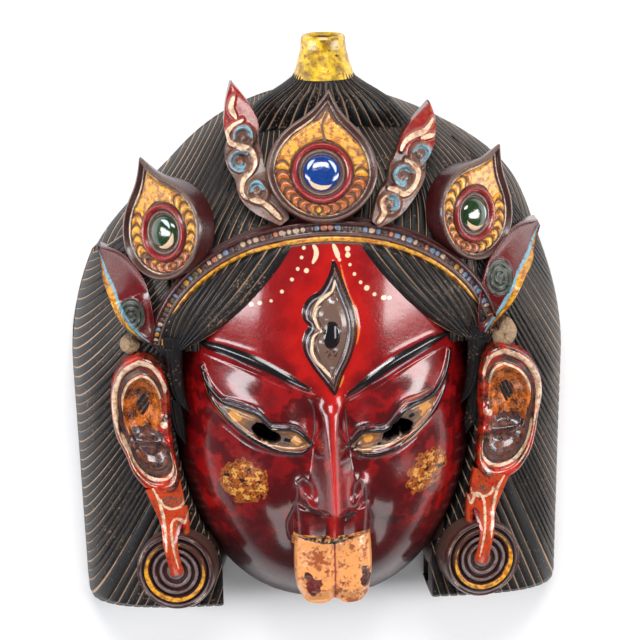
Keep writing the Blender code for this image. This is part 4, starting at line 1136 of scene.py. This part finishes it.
eyes = {
    "pitDepth": 26.0,
    "leftUpper": ((-74, -16), (-72, -23), (-69, -28.5), (-65, -33), (-61, -35.5), (-55, -36.5), (-48, -38),
                  (-42.5, -40),
                  (-38.5, -44), (-35.5, -47.5), (-30, -48.5), (-24, -49), (-18.5, -52), (-14, -56.5),
                  (-11.5, -59.5)),
    "leftLower": ((-73, -19.5), (-70.5, -30), (-67.5, -36.5), (-61.5, -43.5), (-54, -50.5), (-47.5, -55.5),
                  (-40.5, -59.5),
                  (-32.5, -62.5), (-24.5, -64), (-17, -64), (-11.5, -60)),
    "leftBall": ((-64, -38), (-60.5, -37.5), (-52.5, -39.5), (-43.5, -41.5), (-39, -45.5), (-35.5, -49),
                 (-29, -50), (-22, -51.5),
                 (-16, -56), (-13.5, -60), (-18.5, -62), (-25.5, -62), (-33, -60.5), (-40.5, -57),
                 (-47.5, -53), (-54, -48.5),
                 (-60, -43)),
    "rightUpper": ((10, -61), (14.5, -57), (19.5, -53), (25.5, -52), (32, -52), (37.5, -48.5),
                   (42.5, -42.5), (49, -38.5),
                   (56.5, -37.5), (63, -35), (67.5, -30.5), (71, -24.5), (73, -18), (74, -12)),
    "rightLower": ((12, -62.5), (18, -66), (26, -67), (35, -65.5), (41, -63.5), (47, -59.5), (53.5, -54.5),
                   (60, -48.5),
                   (65.5, -42), (70, -34), (72.5, -27)),
    "rightBall": ((13, -63), (15.5, -57.5), (20.5, -54), (27.5, -53.5), (33.5, -53), (38.5, -47.5),
                  (43, -43), (48.5, -40.5),
                  (55, -39), (63, -37.5), (60, -46), (52.5, -53), (46, -57), (40, -60.5), (33.5, -63),
                  (25, -64.5), (18, -65)),
    "leftGold": ((-55, -44, 5), (-19, -57, 4)), "rightGold": ((56, -43, 5.5), (22, -58, 5)),
    "leftDull": ((-46, -48, 4.5), (-27, -57, 5), (-61, -40, 3)),
        "rightDull": ((49, -46, 5), (29, -61, 4), (15, -62, 2.5)),
    "leftPupil": ((-43.5, -46), (-39, -47), (-35.5, -50.5), (-31, -52.5), (-29.5, -56), (-33, -58.5),
                  (-39, -57.5), (-43.5, -54.5),
                  (-46, -50)),
    "rightPupil": ((42, -46.5), (47.5, -49), (49, -52.5), (46.5, -56.5), (41, -58), (35, -59.5), (31, -59),
                   (31.5, -55),
                   (35, -51.5), (37.5, -48.5)),
}
brows = (((-78, -0.5), (-70, -3), (-60, -4.5), (-43.3, -9.5), (-26.3, -18), (-12, -26)),
         ((77, -1), (66, -3), (57.7, -5.2), (38.7, -12.2), (23.4, -21.3), (9.5, -31)))

thirdEye = {
    "ringSpacing": 3.1,
    "outline": ((3, 49), (1.5, 43), (-1.5, 36.5), (-5, 32), (-9.5, 29.5), (-13, 26), (-15, 21),
                (-14.5, 15.5), (-11.5, 12),
                (-14, 8), (-15.5, 2), (-14.5, -4), (-11.5, -10), (-8, -15.5), (-4, -21), (-0.5, -26),
                (2.5, -30), (4.5, -27),
                (7.5, -18), (12.5, -8), (15.5, 1.5), (16.5, 11), (15, 21), (11.5, 31), (8, 41), (5, 48.5)),
    "ball": ((0.5, 28), (5, 26.5), (8, 20), (9.5, 12.5), (8.5, 3.5), (6, -3.5), (3, -10), (0.5, -15),
             (-3.5, -9.5), (-5.5, -3.5),
             (-6.5, 3), (-4.5, 8), (-3.5, 13), (-5.5, 18.5), (-3.5, 24.5)),
    "pupil": ((0, 15.5), (4, 14.5), (6.2, 9), (5.2, 2.5), (1.8, -0.5), (-2.2, 0.5), (-3.6, 6), (-2.5, 12)),
}
dotsOfCream = ((-13, 57), (-14.5, 51.5), (-17, 45), (-12, 44), (-20.5, 39), (-26.5, 32), (-33, 26.5),
               (-39.5, 25), (-44.5, 24),
               (-52, 23), (7.5, 49.5), (12.5, 55.5), (12.5, 52), (13.5, 46.5), (16, 41), (19.5, 36),
               (23, 32.5), (27.5, 28.5),
               (33, 26), (36.5, 25.5))


def addNose(x, y, ground):
    down = np.clip((nose["rootY"] - y) / 64, 0, 1)
    half = mix(nose["rootHalf"], nose["footHalf"], down ** 2.2)
    ridge = mix(nose["rootDepth"], nose["tipDepth"], down ** 1.15) - 3.4 * np.maximum(0, -95 - y)
    side = np.clip(np.abs(x) / half, 0, 1)
    slope = np.cos(side ** mix(0.9, 0.7, down) * np.pi / 2) ** mix(1.0, 1.5, down)
    wingTop = 9.5 * swell(np.abs(x), 15.2, 5.2) * swell(y, -89, 8.5)
    fade = smooth((nose["rootY"] + 8 - y) / 14) * smooth((y + 110) / 6)
    return ground + (ridge - ground) * slope * fade + wingTop * smooth((y + 101) / 4)


def addLipBlock(x, y, ground):
    across = np.clip(np.abs(x) / lipBlock["halfWidth"], 0, 1)
    box = smooth((lipBlock["topY"] + 6 - y) / 8) * smooth((y - lipBlock["footY"] + 0.5) / 3)
    box = np.sqrt(1 - across ** 4) * box
    return np.maximum(ground, faceHeight(x, y) + lipBlock["rise"] * box + 3 * swell(x, 0.5, 3.5) * box)


# Lines drawn or cut on the face, each a row of points
faceLines = {
    "lidFold": (((-63, -34), (-55.5, -34.4), (-48, -36), (-43, -38), (-39, -41.5), (-35.5, -45.6),
                 (-31, -46.2), (-24, -47), (-18.5, -49.4), (-14, -53.6)),
                ((12, -56.5), (17, -51), (23, -49.2), (30, -49.5), (35, -46), (39.5, -40.5), (44.5, -36.4),
                 (54, -35), (63, -32.4))),
    "eyeShine": (((-65, -36), (-61.5, -38.6), (-56.5, -39.6), (-50, -41.5), (-44, -43)),
                 ((-35, -48.2), (-31.5, -49)),
                 ((-48.5, -53.8), (-43, -56.7), (-38, -58.6), (-35, -59.8), (-27.5, -61), (-18.5, -62)),
                 ((13, -63.4), (20.5, -64), (27.5, -62.8), (33.5, -62.2), (38.5, -60), (43.5, -57)),
                 ((48, -41.8), (54, -40.4), (60.5, -39)),
                 ((41, -63.6), (48.5, -59.8), (55, -55), (61.5, -50))),
    "eyeCorner": (((-72.5, -25.5), (-70.5, -31.5), (-67.5, -37.6), (-63, -43.4), (-59, -47.4)),
                  ((42, -61), (48.5, -57), (55, -52.3), (60, -47)),
                  ((40, -40.5), (46.5, -35.2), (54, -33.8), (60.5, -32))),
    "crease": (((-63, -50), (-57.5, -54), (-50.5, -59), (-43, -62.6), (-35, -65), (-27.5, -66),
                (-18.5, -66.2), (-14, -63)), ((16, -69), (26, -69.6), (36, -68), (44, -64.8), (52, -60)),
               ((-12.5, -33.5), (-10, -37.5), (-9.3, -43.5), (-9.3, -51), (-11, -57.5), (-13, -63)),
               ((9, -39.5), (9.5, -47.5), (10.2, -56.5), (11, -63), (13, -67), (18, -69.5))),
    "browShine": (((-66.5, -6.3), (-60.5, -7.4), (-54.5, -9.4), (-49, -11.8), (-40, -15.4)),
                  ((-25, -19.6), (-19.5, -22.6), (-13.5, -25.8)),
                  ((59.5, -8.2), (51, -11.6), (41.5, -15.9), (32.5, -20.7), (24.5, -24.4)),
                  ((38.5, -10), (29.5, -14.6), (22, -19.2))),
    "browFold": (((-72, -8.5), (-55, -13), (-39.5, -18.5), (-29.5, -22.8), (-18, -27.3), (-7.5, -31)),
                 ((70, -9), (54, -13.5), (38, -20.5), (26, -27), (12, -35))),
    "thirdWhite": (((4, 39), (2.5, 33), (0, 31), (-4.5, 28), (-7.5, 23.5), (-8.5, 18.5), (-7, 13),
                    (-4.5, 9.5)),
                   ((-4.5, 9.5), (-9, 7), (-10, 2.5), (-10.5, -3), (-8, -8.5), (-4.5, -12), (-1.5, -15.5),
                    (0, -17.5))),
    "thirdRim": (((8, 46.5), (9.8, 37), (12.5, 28), (15.5, 21), (17, 13), (17.3, 6), (16, 0)),
                 ((8, -18.5), (5.5, -25.5))),
    "drops": (((-7.5, 58.5), (-6, 55.5), (-6.2, 52), (-8, 48.5)),
              ((4.2, 58.5), (5.4, 55.5), (6.4, 52.5), (7, 50.5))),
    "nostril": (((-20.5, -82), (-17, -80), (-13, -83), (-12, -88)),
                ((11.5, -91.5), (13, -85), (16.5, -81.5), (19.5, -85.5), (20.5, -94.5), (22.5, -102.5),
                 (24.5, -110.5), (24.5, -118)),
                ((-20.5, -84), (-21, -92), (-23, -100), (-25.5, -106), (-26.5, -112), (-25, -119))),
    # Nostril pits, painted black as their shadow
    "nostrilShadow": (((-16.5, -95.5), (-12, -98), (-7.5, -99.8)), ((12.5, -100.5), (7.5, -104))),
}


cheekSpots = (((-64, -76), (-55, -70), (-45, -72), (-38, -78), (-37, -87), (-44, -94), (-53, -96),
               (-61, -92), (-65, -85)),
              ((46, -83), (50, -75), (58, -70), (68, -71), (71, -78), (67, -87), (60, -93), (51, -94),
               (45, -90)))
lipEdge = ((-23, -116), (-15, -114.6), (-4.5, -116.5), (0, -118.3), (7.5, -117), (12, -114), (22, -113.6))


def carveEyes(sheet):
    x, y = sheet.x, sheet.y
    patchy = waves(x, y, 14, 9) + 0.5 * waves(x, y, 16, 4)
    pit = 0 * x
    for side in ("left", "right"):
        ball = insideArea(x, y, curve(eyes[side + "Ball"], 4))
        pupil = insideCurve(x, y, eyes[side + "Pupil"], 4)
        sheet.z = sheet.z - 1.6 * smooth((ball + 0.3) / 1.2) + 1.4 * smooth(ball / 5)
        pit = pit + smooth((pupil + 0.3) / 1.0)
        white = np.minimum(ball + 0.6, -pupil - 0.6)
        sheet.paint("amberArea", white)
        for px, py, size in eyes[side + "Gold"]:
            near = size - np.hypot(x - px, (y - py) * 1.3)
            sheet.paint("goldArea", np.minimum(white - 0.4, near - 1.5 + 3.2 * patchy))
        for px, py, size in eyes[side + "Dull"]:
            near = size - np.hypot(x - px, (y - py) * 1.2) + 1.5 * patchy
            sheet.paint("taupeArea", np.minimum(white, near))
            sheet.paint("inkArea", np.minimum(white, near - 3.2 + 2 * patchy))
        sheet.paint("taupeArea", np.minimum(1.2 - np.abs(pupil + 0.9), ball))
        sheet.paint("inkArea", pupil + 0.3)
        sheet.stroke("inkArea", eyes[side + "Upper"], 3.6, 2.6, taper=0.45)
        sheet.stroke("inkArea", eyes[side + "Lower"], 2.4, 1.6, taper=0.4)
    sheet.lift = sheet.lift - eyes["pitDepth"] * np.clip(pit, 0, 1)
    for line in faceLines["lidFold"]:
        sheet.cut(line, 0.7, 0.7)
        sheet.stroke("greyArea", [(px, py - 0.9) for px, py in line], 0.45, 0.2)
        sheet.stroke("inkArea", [(px, py + 1.4) for px, py in line], 0.9, 0.5)
    for line in faceLines["eyeShine"]:
        sheet.stroke("creamArea", line, 0.8, 0.25)
    for line in faceLines["eyeCorner"]:
        sheet.stroke("orangeArea", line, 1.1, 0.2)
    for line in faceLines["crease"]:
        sheet.cut(line, 0.8, 0.6)
        sheet.stroke("taupeArea", line, 0.5)


def carveBrows(sheet):
    for brow in brows:
        sheet.stroke("inkArea", brow, 6.4, 2.2, taper=0.04)
    for line in faceLines["browShine"]:
        sheet.stroke("greyArea", line, 0.9, 0)
    for line in faceLines["browFold"]:
        sheet.cut(line, 1.2, 0.5, 0.35)


def carveThirdEye(sheet, outline):
    x, y = sheet.x, sheet.y
    ball = insideCurve(x, y, thirdEye["ball"])
    pupil = insideCurve(x, y, thirdEye["pupil"])
    sheet.lift = sheet.lift + 4.6 * smooth((outline + 0.6) / 4.5) + 1.2 * smooth((ball + 0.5) / 3)
    sheet.lift = sheet.lift + 0.5 * smooth(pupil / 1.5)
    rings = np.cos(outline * 2 * np.pi / thirdEye["ringSpacing"])
    between = smooth((outline - 0.5) / 1.2) * smooth((-ball - 0.2) / 1.0)
    sheet.lift = sheet.lift - 0.7 * between * rings
    sheet.paint("taupeArea", outline)
    sheet.paint("amberArea", np.minimum(ball + 0.5, 1.8 * waves(x, y, 51, 8) - 0.3))
    sheet.paint("greyArea", np.minimum(ball + 0.5, 1.6 * waves(x, y, 53, 6) - 1.1))
    sheet.paint("inkArea", 1.1 - np.abs(outline - 0.9))
    sheet.paint("inkArea", np.where(x > 3, 1.2 - np.abs(outline - 4.0), 0.5 - np.abs(outline - 3.2)))
    greyLine = np.where(x < 3, 0.4 - np.abs(outline - 2.2), 0.35 - np.abs(outline - 4.6))
    sheet.paint("greyArea", greyLine - 3 * (np.abs(y - 12) > 34))
    sheet.paint("spotArea", np.minimum(ball, 3.6 - np.hypot(x - 1, (y + 3) * 0.7)))
    for line in faceLines["thirdWhite"]:
        sheet.stroke("creamArea", line, 2.1, 0.7, taper=0.3)
        sheet.stroke("spotArea", [(px + 1.9, py - 0.3) for px, py in line], 1.4, -0.4, taper=0.3)
    for line, rise in zip(faceLines["thirdRim"], (0.5, 0.2)):
        sheet.stroke("orangeArea", line, 1.6, rise)
    sheet.paint("inkArea", pupil)
    sheet.paint("greyArea", np.minimum(0.5 - np.abs(x - 3.3), 3.5 - np.abs(y - 9)))
    sheet.groove = sheet.groove + between * (rings > 0.4) * 0.7


def carveMouth(sheet):
    # Nostrils with painted shadow in their pits, the lip's edge and the worn strip under it
    x, y = sheet.x, sheet.y
    for line in faceLines["nostril"]:
        sheet.cut(line, 1.3, 0.8)
        sheet.stroke("taupeArea", line, 0.6)
    # The pits are cut shallow and painted black as a painted shadow
    for line in faceLines["nostrilShadow"]:
        sheet.cut(line, 2.4, 1.6)
        sheet.stroke("inkArea", line, 1.6)
    sheet.stroke("orangeArea", lipEdge, 1.2)
    for offset in (1.8, 3.6, 5.4):
        sheet.stroke("amberArea", [(px, py - offset) for px, py in lipEdge], 2.6, 0, taper=0.8)
    onLip = np.where((y < -114) & (y > -124) & (np.abs(x) < 23), 1.6 * waves(x, y, 21, 5) - 0.2, noPaint)
    sheet.paint("goldArea", onLip)
    sheet.paint("creamArea", onLip - 0.9 + waves(x, y, 25, 8))


def paintForeheadAndCheeks(sheet):
    x, y = sheet.x, sheet.y
    for px, py in dotsOfCream:
        sheet.paint("creamArea", 1.3 + 0.3 * np.sin(px * 3.1) - np.hypot(x - px, (y - py) * 1.05))
    for drop in faceLines["drops"]:
        sheet.stroke("creamArea", drop, 2.9, taper=0.35)
    for spot in cheekSpots:
        inside = insideCurve(x, y, spot)
        ragged = waves(x, y, 17, 7) + 0.6 * waves(x, y, 18, 3.5)
        sheet.paint("spotArea", inside + 2.0 * ragged)
        sheet.paint("goldArea", np.minimum(inside - 1.5, 2.2 * waves(x, y, 19, 6) - 0.3 + ragged))
        pitted = 2.4 * waves(x, y, 27, 7) + waves(x, y, 29, 3) - 1.2
        sheet.paint("inkArea", np.minimum(inside - 0.5, pitted))


def shadeFace(sheet, outline):
    # Where the lacquer is brighter, darker or shaded: brighter red round the third eye, a painted highlight
    # along the nose ridge, darker towards the bottom with painted shade on the nose's flanks, and painted
    # shade towards the chin and beside the mouth
    x, y = sheet.x, sheet.y
    ridge = 5 - np.abs(x - 0.5 - 0.02 * (y + 70)) * 2.4 - 9 * smooth((y + 34) / 10)
    sheet.areas["brightRedAndRidgeHighlightArea"] = np.maximum(5 - np.abs(-outline - 1) * 0.55, ridge)
    onRidge = swell(x, 0.5, 3.4) * smooth((y + 112) / 8)
    sheet.areas["darkerBelowAndFlankShadeArea"] = mix(0.15, 1, smooth((20 - y) / 60)) * mix(1, 0.2, onRidge)
    besideMouth = swell(y, -100, 22) * swell(np.abs(x), 32, 14)
    sheet.areas["shadeArea"] = 3 * smooth((-y - 105) / 30) + 2 * besideMouth - 1


def makeFace(materials):
    sheet = Sheet("face", face["columns"], face["rows"])
    across = 2 * sheet.s - 1
    x = face["sheetHalfWidth"] * (0.7 * across + 0.3 * across ** 3)
    wide = (np.abs(x) / face["halfWidth"]) ** 2.3
    low = face["centreY"] - face["chinReach"] * np.maximum(0, 1 - wide) ** (1 / face["chinShape"])
    high = band["centreY"] + band["reachY"] * np.sqrt(np.maximum(0, 1 - (x / band["reachX"]) ** 2)) + 2
    up = np.clip((sheet.t - face["wallShare"]) / (1 - face["wallShare"]), 0, 1)
    y = mix(low, high, mix(up ** 2, up, smooth(up / 0.12)))
    base = faceHeight(x, y)
    height = np.maximum(addNose(x, y, base), addLipBlock(x, y, base))
    sheet.place(x, y, height + 0.35 * waves(x, y, 12, 60))
    outline = insideCurve(x, y, thirdEye["outline"])
    carveEyes(sheet)
    carveBrows(sheet)
    carveThirdEye(sheet, outline)
    carveMouth(sheet)
    paintForeheadAndCheeks(sheet)
    shadeFace(sheet, outline)
    # The edge goes straight down to the back plane
    wall = np.clip((face["wallShare"] - sheet.t) / face["wallShare"], 0, 1)
    sheet.areas["hollow"] = np.clip(sheet.groove, 0, 1) * (wall == 0)
    toRim = 1 - wide - (np.maximum(0, face["centreY"] - y) / face["chinReach"]) ** face["chinShape"]
    nearRim = np.maximum(smooth(wall * 4), smooth((0.3 - toRim) / 0.26))
    sheet.areas["edgeArea"] = np.where(y < -60, nearRim, 0)
    sheet.z = np.where(wall > 0, sheet.z * (1 - wall ** 1.15), sheet.z)
    sheet.lift = sheet.lift * (wall == 0)
    ride(sheet.finish(materials["face"]))


tongue = {"halfWidth": 22.0, "topY": -113.0, "tipY": -155.0, "depthTop": 90.0, "depthTip": 94.0,
          "back": 50.0}


def makeTongue(materials):
    sheet = Sheet("tongue", 120, 132)
    side, front = ringSection(sheet.s)
    down = np.clip(sheet.t / 0.88, 0, 1)
    end = np.clip((sheet.t - 0.88) / 0.12, 0, 1)
    tip = tongue["tipY"] + 2.5 * (swell(side, 0, 0.2) - 1) + 9 * np.abs(side) ** 6
    half = tongue["halfWidth"] * (1 + 0.05 * np.sin(np.pi * down))
    x, y = 0.5 + side * half, mix(tongue["topY"], tip, down)
    crest = 12 * np.sqrt(np.maximum(0, 1 - side ** 4)) - 2.8 * swell(side, 0.02, 0.12)
    crest = crest - 5 * smooth((down - 0.78) / 0.22)
    top = mix(tongue["depthTop"], tongue["depthTip"], down) + crest + 0.4 * waves(x, y, 5, 18)
    z = mix(tongue["back"], top, front)
    z = mix(z, tongue["back"], end)
    sheet.place(x, y, z)
    onTop = front > 0.99

    def blot(px, py, rx, ry):
        inside = 1 - np.hypot((x - px) / rx, (y - py) / ry) + 0.35 * waves(x, y, 23, 5)
        return np.where(onTop, inside * 3, noPaint)

    sheet.paint("wallArea", blot(-12, -146, 4.4, 5.4))
    sheet.paint("inkArea", blot(19, -142, 3.2, 6.5))
    sheet.paint("inkArea", blot(-15.5, -139.5, 2.6, 2.2))
    sheet.paint("grooveArea", 0.55 - np.abs(x - 0.9), onTop)
    stops = np.array([(-22, 0.2, 3.4), (-14, 0.5, 5.6), (-6, 1.6, 7.4), (1, 4.2, 8.2), (6, 2.4, 6.4),
                      (12, 0, 4.2), (22, -0.6, 2.6)])
    lip = tongue["topY"] - np.interp(x, stops[:, 0], stops[:, 1])
    strip = tongue["topY"] - np.interp(x, stops[:, 0], stops[:, 2])
    inStrip = np.where(front > 0.5, y - strip, noPaint)
    sheet.paint("stripArea", inStrip)
    speckle = waves(x, y, 41, 4.5) + 0.5 * waves(x, y, 43, 2.2)
    sheet.paint("creamArea", np.minimum(inStrip - 1.2, 1.4 * speckle - 0.5))
    sheet.paint("goldArea", np.minimum(inStrip - 0.4, 1.5 * waves(x, y, 47, 4) - 0.4))
    sheet.paint("goldArea", 0.8 - np.abs(y - lip + 0.3), front > 0.5)
    sheet.paint("redArea", y - lip, front > 0.5)
    sheet.lift = 1.6 * smooth((y - lip + 0.5) / 1.0) * front - 0.8 * smooth((inStrip + 0.4) / 1.0) * front
    ride(sheet.finish(materials["tongue"], closeSeam=True))


hollow = {"centreY": -24.0, "halfWidth": 76.0, "halfHeight": 112.0, "depth": 80.0, "rimDepth": 0.3,
          "inner": 0.8, "outer": 1.12}


def makeBack(frame, materials):
    # The flat rim and the hollow that fits over a face, left plain
    bpy.ops.object.select_all(action="DESELECT")
    piece = frame["nodes"]["mask"].copy()
    piece.data = piece.data.copy()
    piece.name = piece.data.name = "plain_back"
    bpy.context.collection.objects.link(piece)
    piece.parent = None
    piece.hide_viewport = piece.hide_render = False
    piece.hide_set(False)
    mesh = piece.data
    place = np.array(piece.matrix_world)
    flat = np.empty(len(mesh.vertices) * 3)
    mesh.vertices.foreach_get("co", flat)
    points = (np.column_stack([flat.reshape(-1, 3), np.ones(len(mesh.vertices))]) @ place.T)[:, :3] / mm
    onRim = points[:, 2] < hollow["rimDepth"]
    size = (hollow["halfWidth"], hollow["halfHeight"], hollow["depth"])
    shares = (points - (0, hollow["centreY"], 0)) / size
    far = (shares ** 2).sum(axis=1)
    keep = onRim | ((far < hollow["outer"]) & (far > hollow["inner"]))
    bpy.context.view_layer.objects.active = piece
    piece.select_set(True)
    bpy.ops.object.mode_set(mode="EDIT")
    bpy.ops.mesh.select_mode(type="VERT")
    bpy.ops.mesh.select_all(action="DESELECT")
    bpy.ops.object.mode_set(mode="OBJECT")
    mesh.vertices.foreach_set("select", ~keep)
    bpy.ops.object.mode_set(mode="EDIT")
    bpy.ops.mesh.delete(type="VERT")
    bpy.ops.object.mode_set(mode="OBJECT")
    mesh.materials.clear()
    mesh.materials.append(materials["back"])
    ride(piece)


plugs = (
    {"name": "left_plug_fibre", "node": "ear_plug_left", "at": (-115.5, -3), "size": (5.8, 5.8, 6.2)},
    {"name": "right_plug_fibre", "node": "ear_plug_right", "at": (106.5, -3), "size": (7.4, 9.2, 7.4)},
)


def makePlugs(frame, materials):
    for plug in plugs:
        sheet = Sheet(plug["name"], 72, 54)
        angle, tilt = 2 * math.pi * sheet.s, math.pi * (sheet.t - 0.5)
        lump = 1 + 0.07 * waves(np.cos(angle) * 20, np.sin(tilt) * 20 + np.sin(angle) * 9, 31, 14)
        lump = lump + 0.05 * waves(np.cos(angle) * 20 + 5, np.sin(tilt) * 20 + np.sin(angle) * 20, 33, 4)
        x = plug["size"][0] * lump * np.cos(tilt) * np.cos(angle)
        y = plug["size"][1] * lump * np.cos(tilt) * np.sin(angle)
        z = plug["size"][2] * lump * np.sin(tilt)
        ground = float(hairHeight(np.array(abs(plug["at"][0])), np.array(plug["at"][1])))
        sheet.place(plug["at"][0] + x, plug["at"][1] + y, ground + 2.5 + z)
        ride(sheet.finish(materials["fibre"], closeSeam=True), plug["node"])


# Name, place, size, power and colour
lights = (
    ("top light", (0.0, 1.35, 1.35), (1.3, 0.5), 32, (1.0, 0.98, 0.96)),
    ("left light", (-1.25, 0.1, 0.75), (0.35, 1.1), 17, (0.95, 0.97, 1.0)),
    ("right light", (1.25, 0.05, 0.75), (0.35, 1.1), 17, (1.0, 0.98, 0.97)),
    ("foot light", (0.0, -1.5, 1.1), (1.6, 0.4), 7, (1.0, 1.0, 1.0)),
)


def makeStage(materials):
    bpy.ops.mesh.primitive_plane_add(size=12, location=(0, 0, -0.0005))
    floor = bpy.context.object
    floor.name = "pale floor"
    floor.data.materials.append(materials["floor"])
    for name, place, size, power, tint in lights:
        bpy.ops.object.light_add(type="AREA", location=place)
        light = bpy.context.object
        light.name = light.data.name = name
        light.data.shape = "RECTANGLE"
        light.data.size, light.data.size_y = size
        light.data.energy = power
        light.data.color = tint
        light.rotation_euler = (Vector((0, 0, 0.05)) - Vector(place)).to_track_quat("-Z", "Y").to_euler()
    world = bpy.data.worlds.new("soft studio")
    world.use_nodes = True
    world.node_tree.nodes["Background"].inputs["Color"].default_value = (0.95, 0.96, 1.0, 1)
    world.node_tree.nodes["Background"].inputs["Strength"].default_value = 0.16
    bpy.context.scene.world = world
    bpy.context.scene.view_settings.view_transform = "Standard"


view = {"pitch": 13, "yaw": 4, "roll": 1.2, "away": 2.0, "aim": (-0.001, 0.0024, 0.045), "lens": 187.5}


def makeCamera():
    # Looks down on the lying mask, a little from above its forehead
    pitch, yaw, roll = (math.radians(view[key]) for key in ("pitch", "yaw", "roll"))
    back = Vector((-math.sin(yaw), math.sin(pitch) * math.cos(yaw), math.cos(pitch) * math.cos(yaw)))
    level = Vector((0, 1, 0)).cross(back).normalized()
    upright = back.cross(level)
    right = math.cos(roll) * level - math.sin(roll) * upright
    up = math.sin(roll) * level + math.cos(roll) * upright
    bpy.ops.object.camera_add()
    camera = bpy.context.object
    camera.name = camera.data.name = "photograph view"
    camera.data.lens = view["lens"]
    camera.data.sensor_width = 36
    turned = Matrix((right, up, back)).transposed().to_4x4()
    camera.matrix_world = Matrix.Translation(Vector(view["aim"]) + back * view["away"]) @ turned
    bpy.context.scene.camera = camera


def main():
    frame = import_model()
    say("frame loaded")
    makeCamera()
    materials = makeMaterials()
    say("materials ready")
    makeCrown(materials)
    for side in (-1, 1):
        makeFall(side, materials)
        makeWing(side, materials)
        makeLocks(side, materials)
    say("hair carved")
    makeBand(materials)
    for petal in petals:
        makePetal(**petal, materials=materials)
    for flame in flames:
        makeFlame(flame, materials)
    for leaf in leaves:
        makeLeaf(leaf, materials)
    say("crown ornament carved")
    for ear in ears:
        makeEar(ear, materials)
    for strap in straps:
        makeStraps(strap, materials)
        makeDisc(strap, materials)
    makeKnot(materials)
    say("ears and top-knot carved")
    makeFace(materials)
    makeTongue(materials)
    say("face carved")
    makeBack(frame, materials)
    makePlugs(frame, materials)
    makeStage(materials)


main()
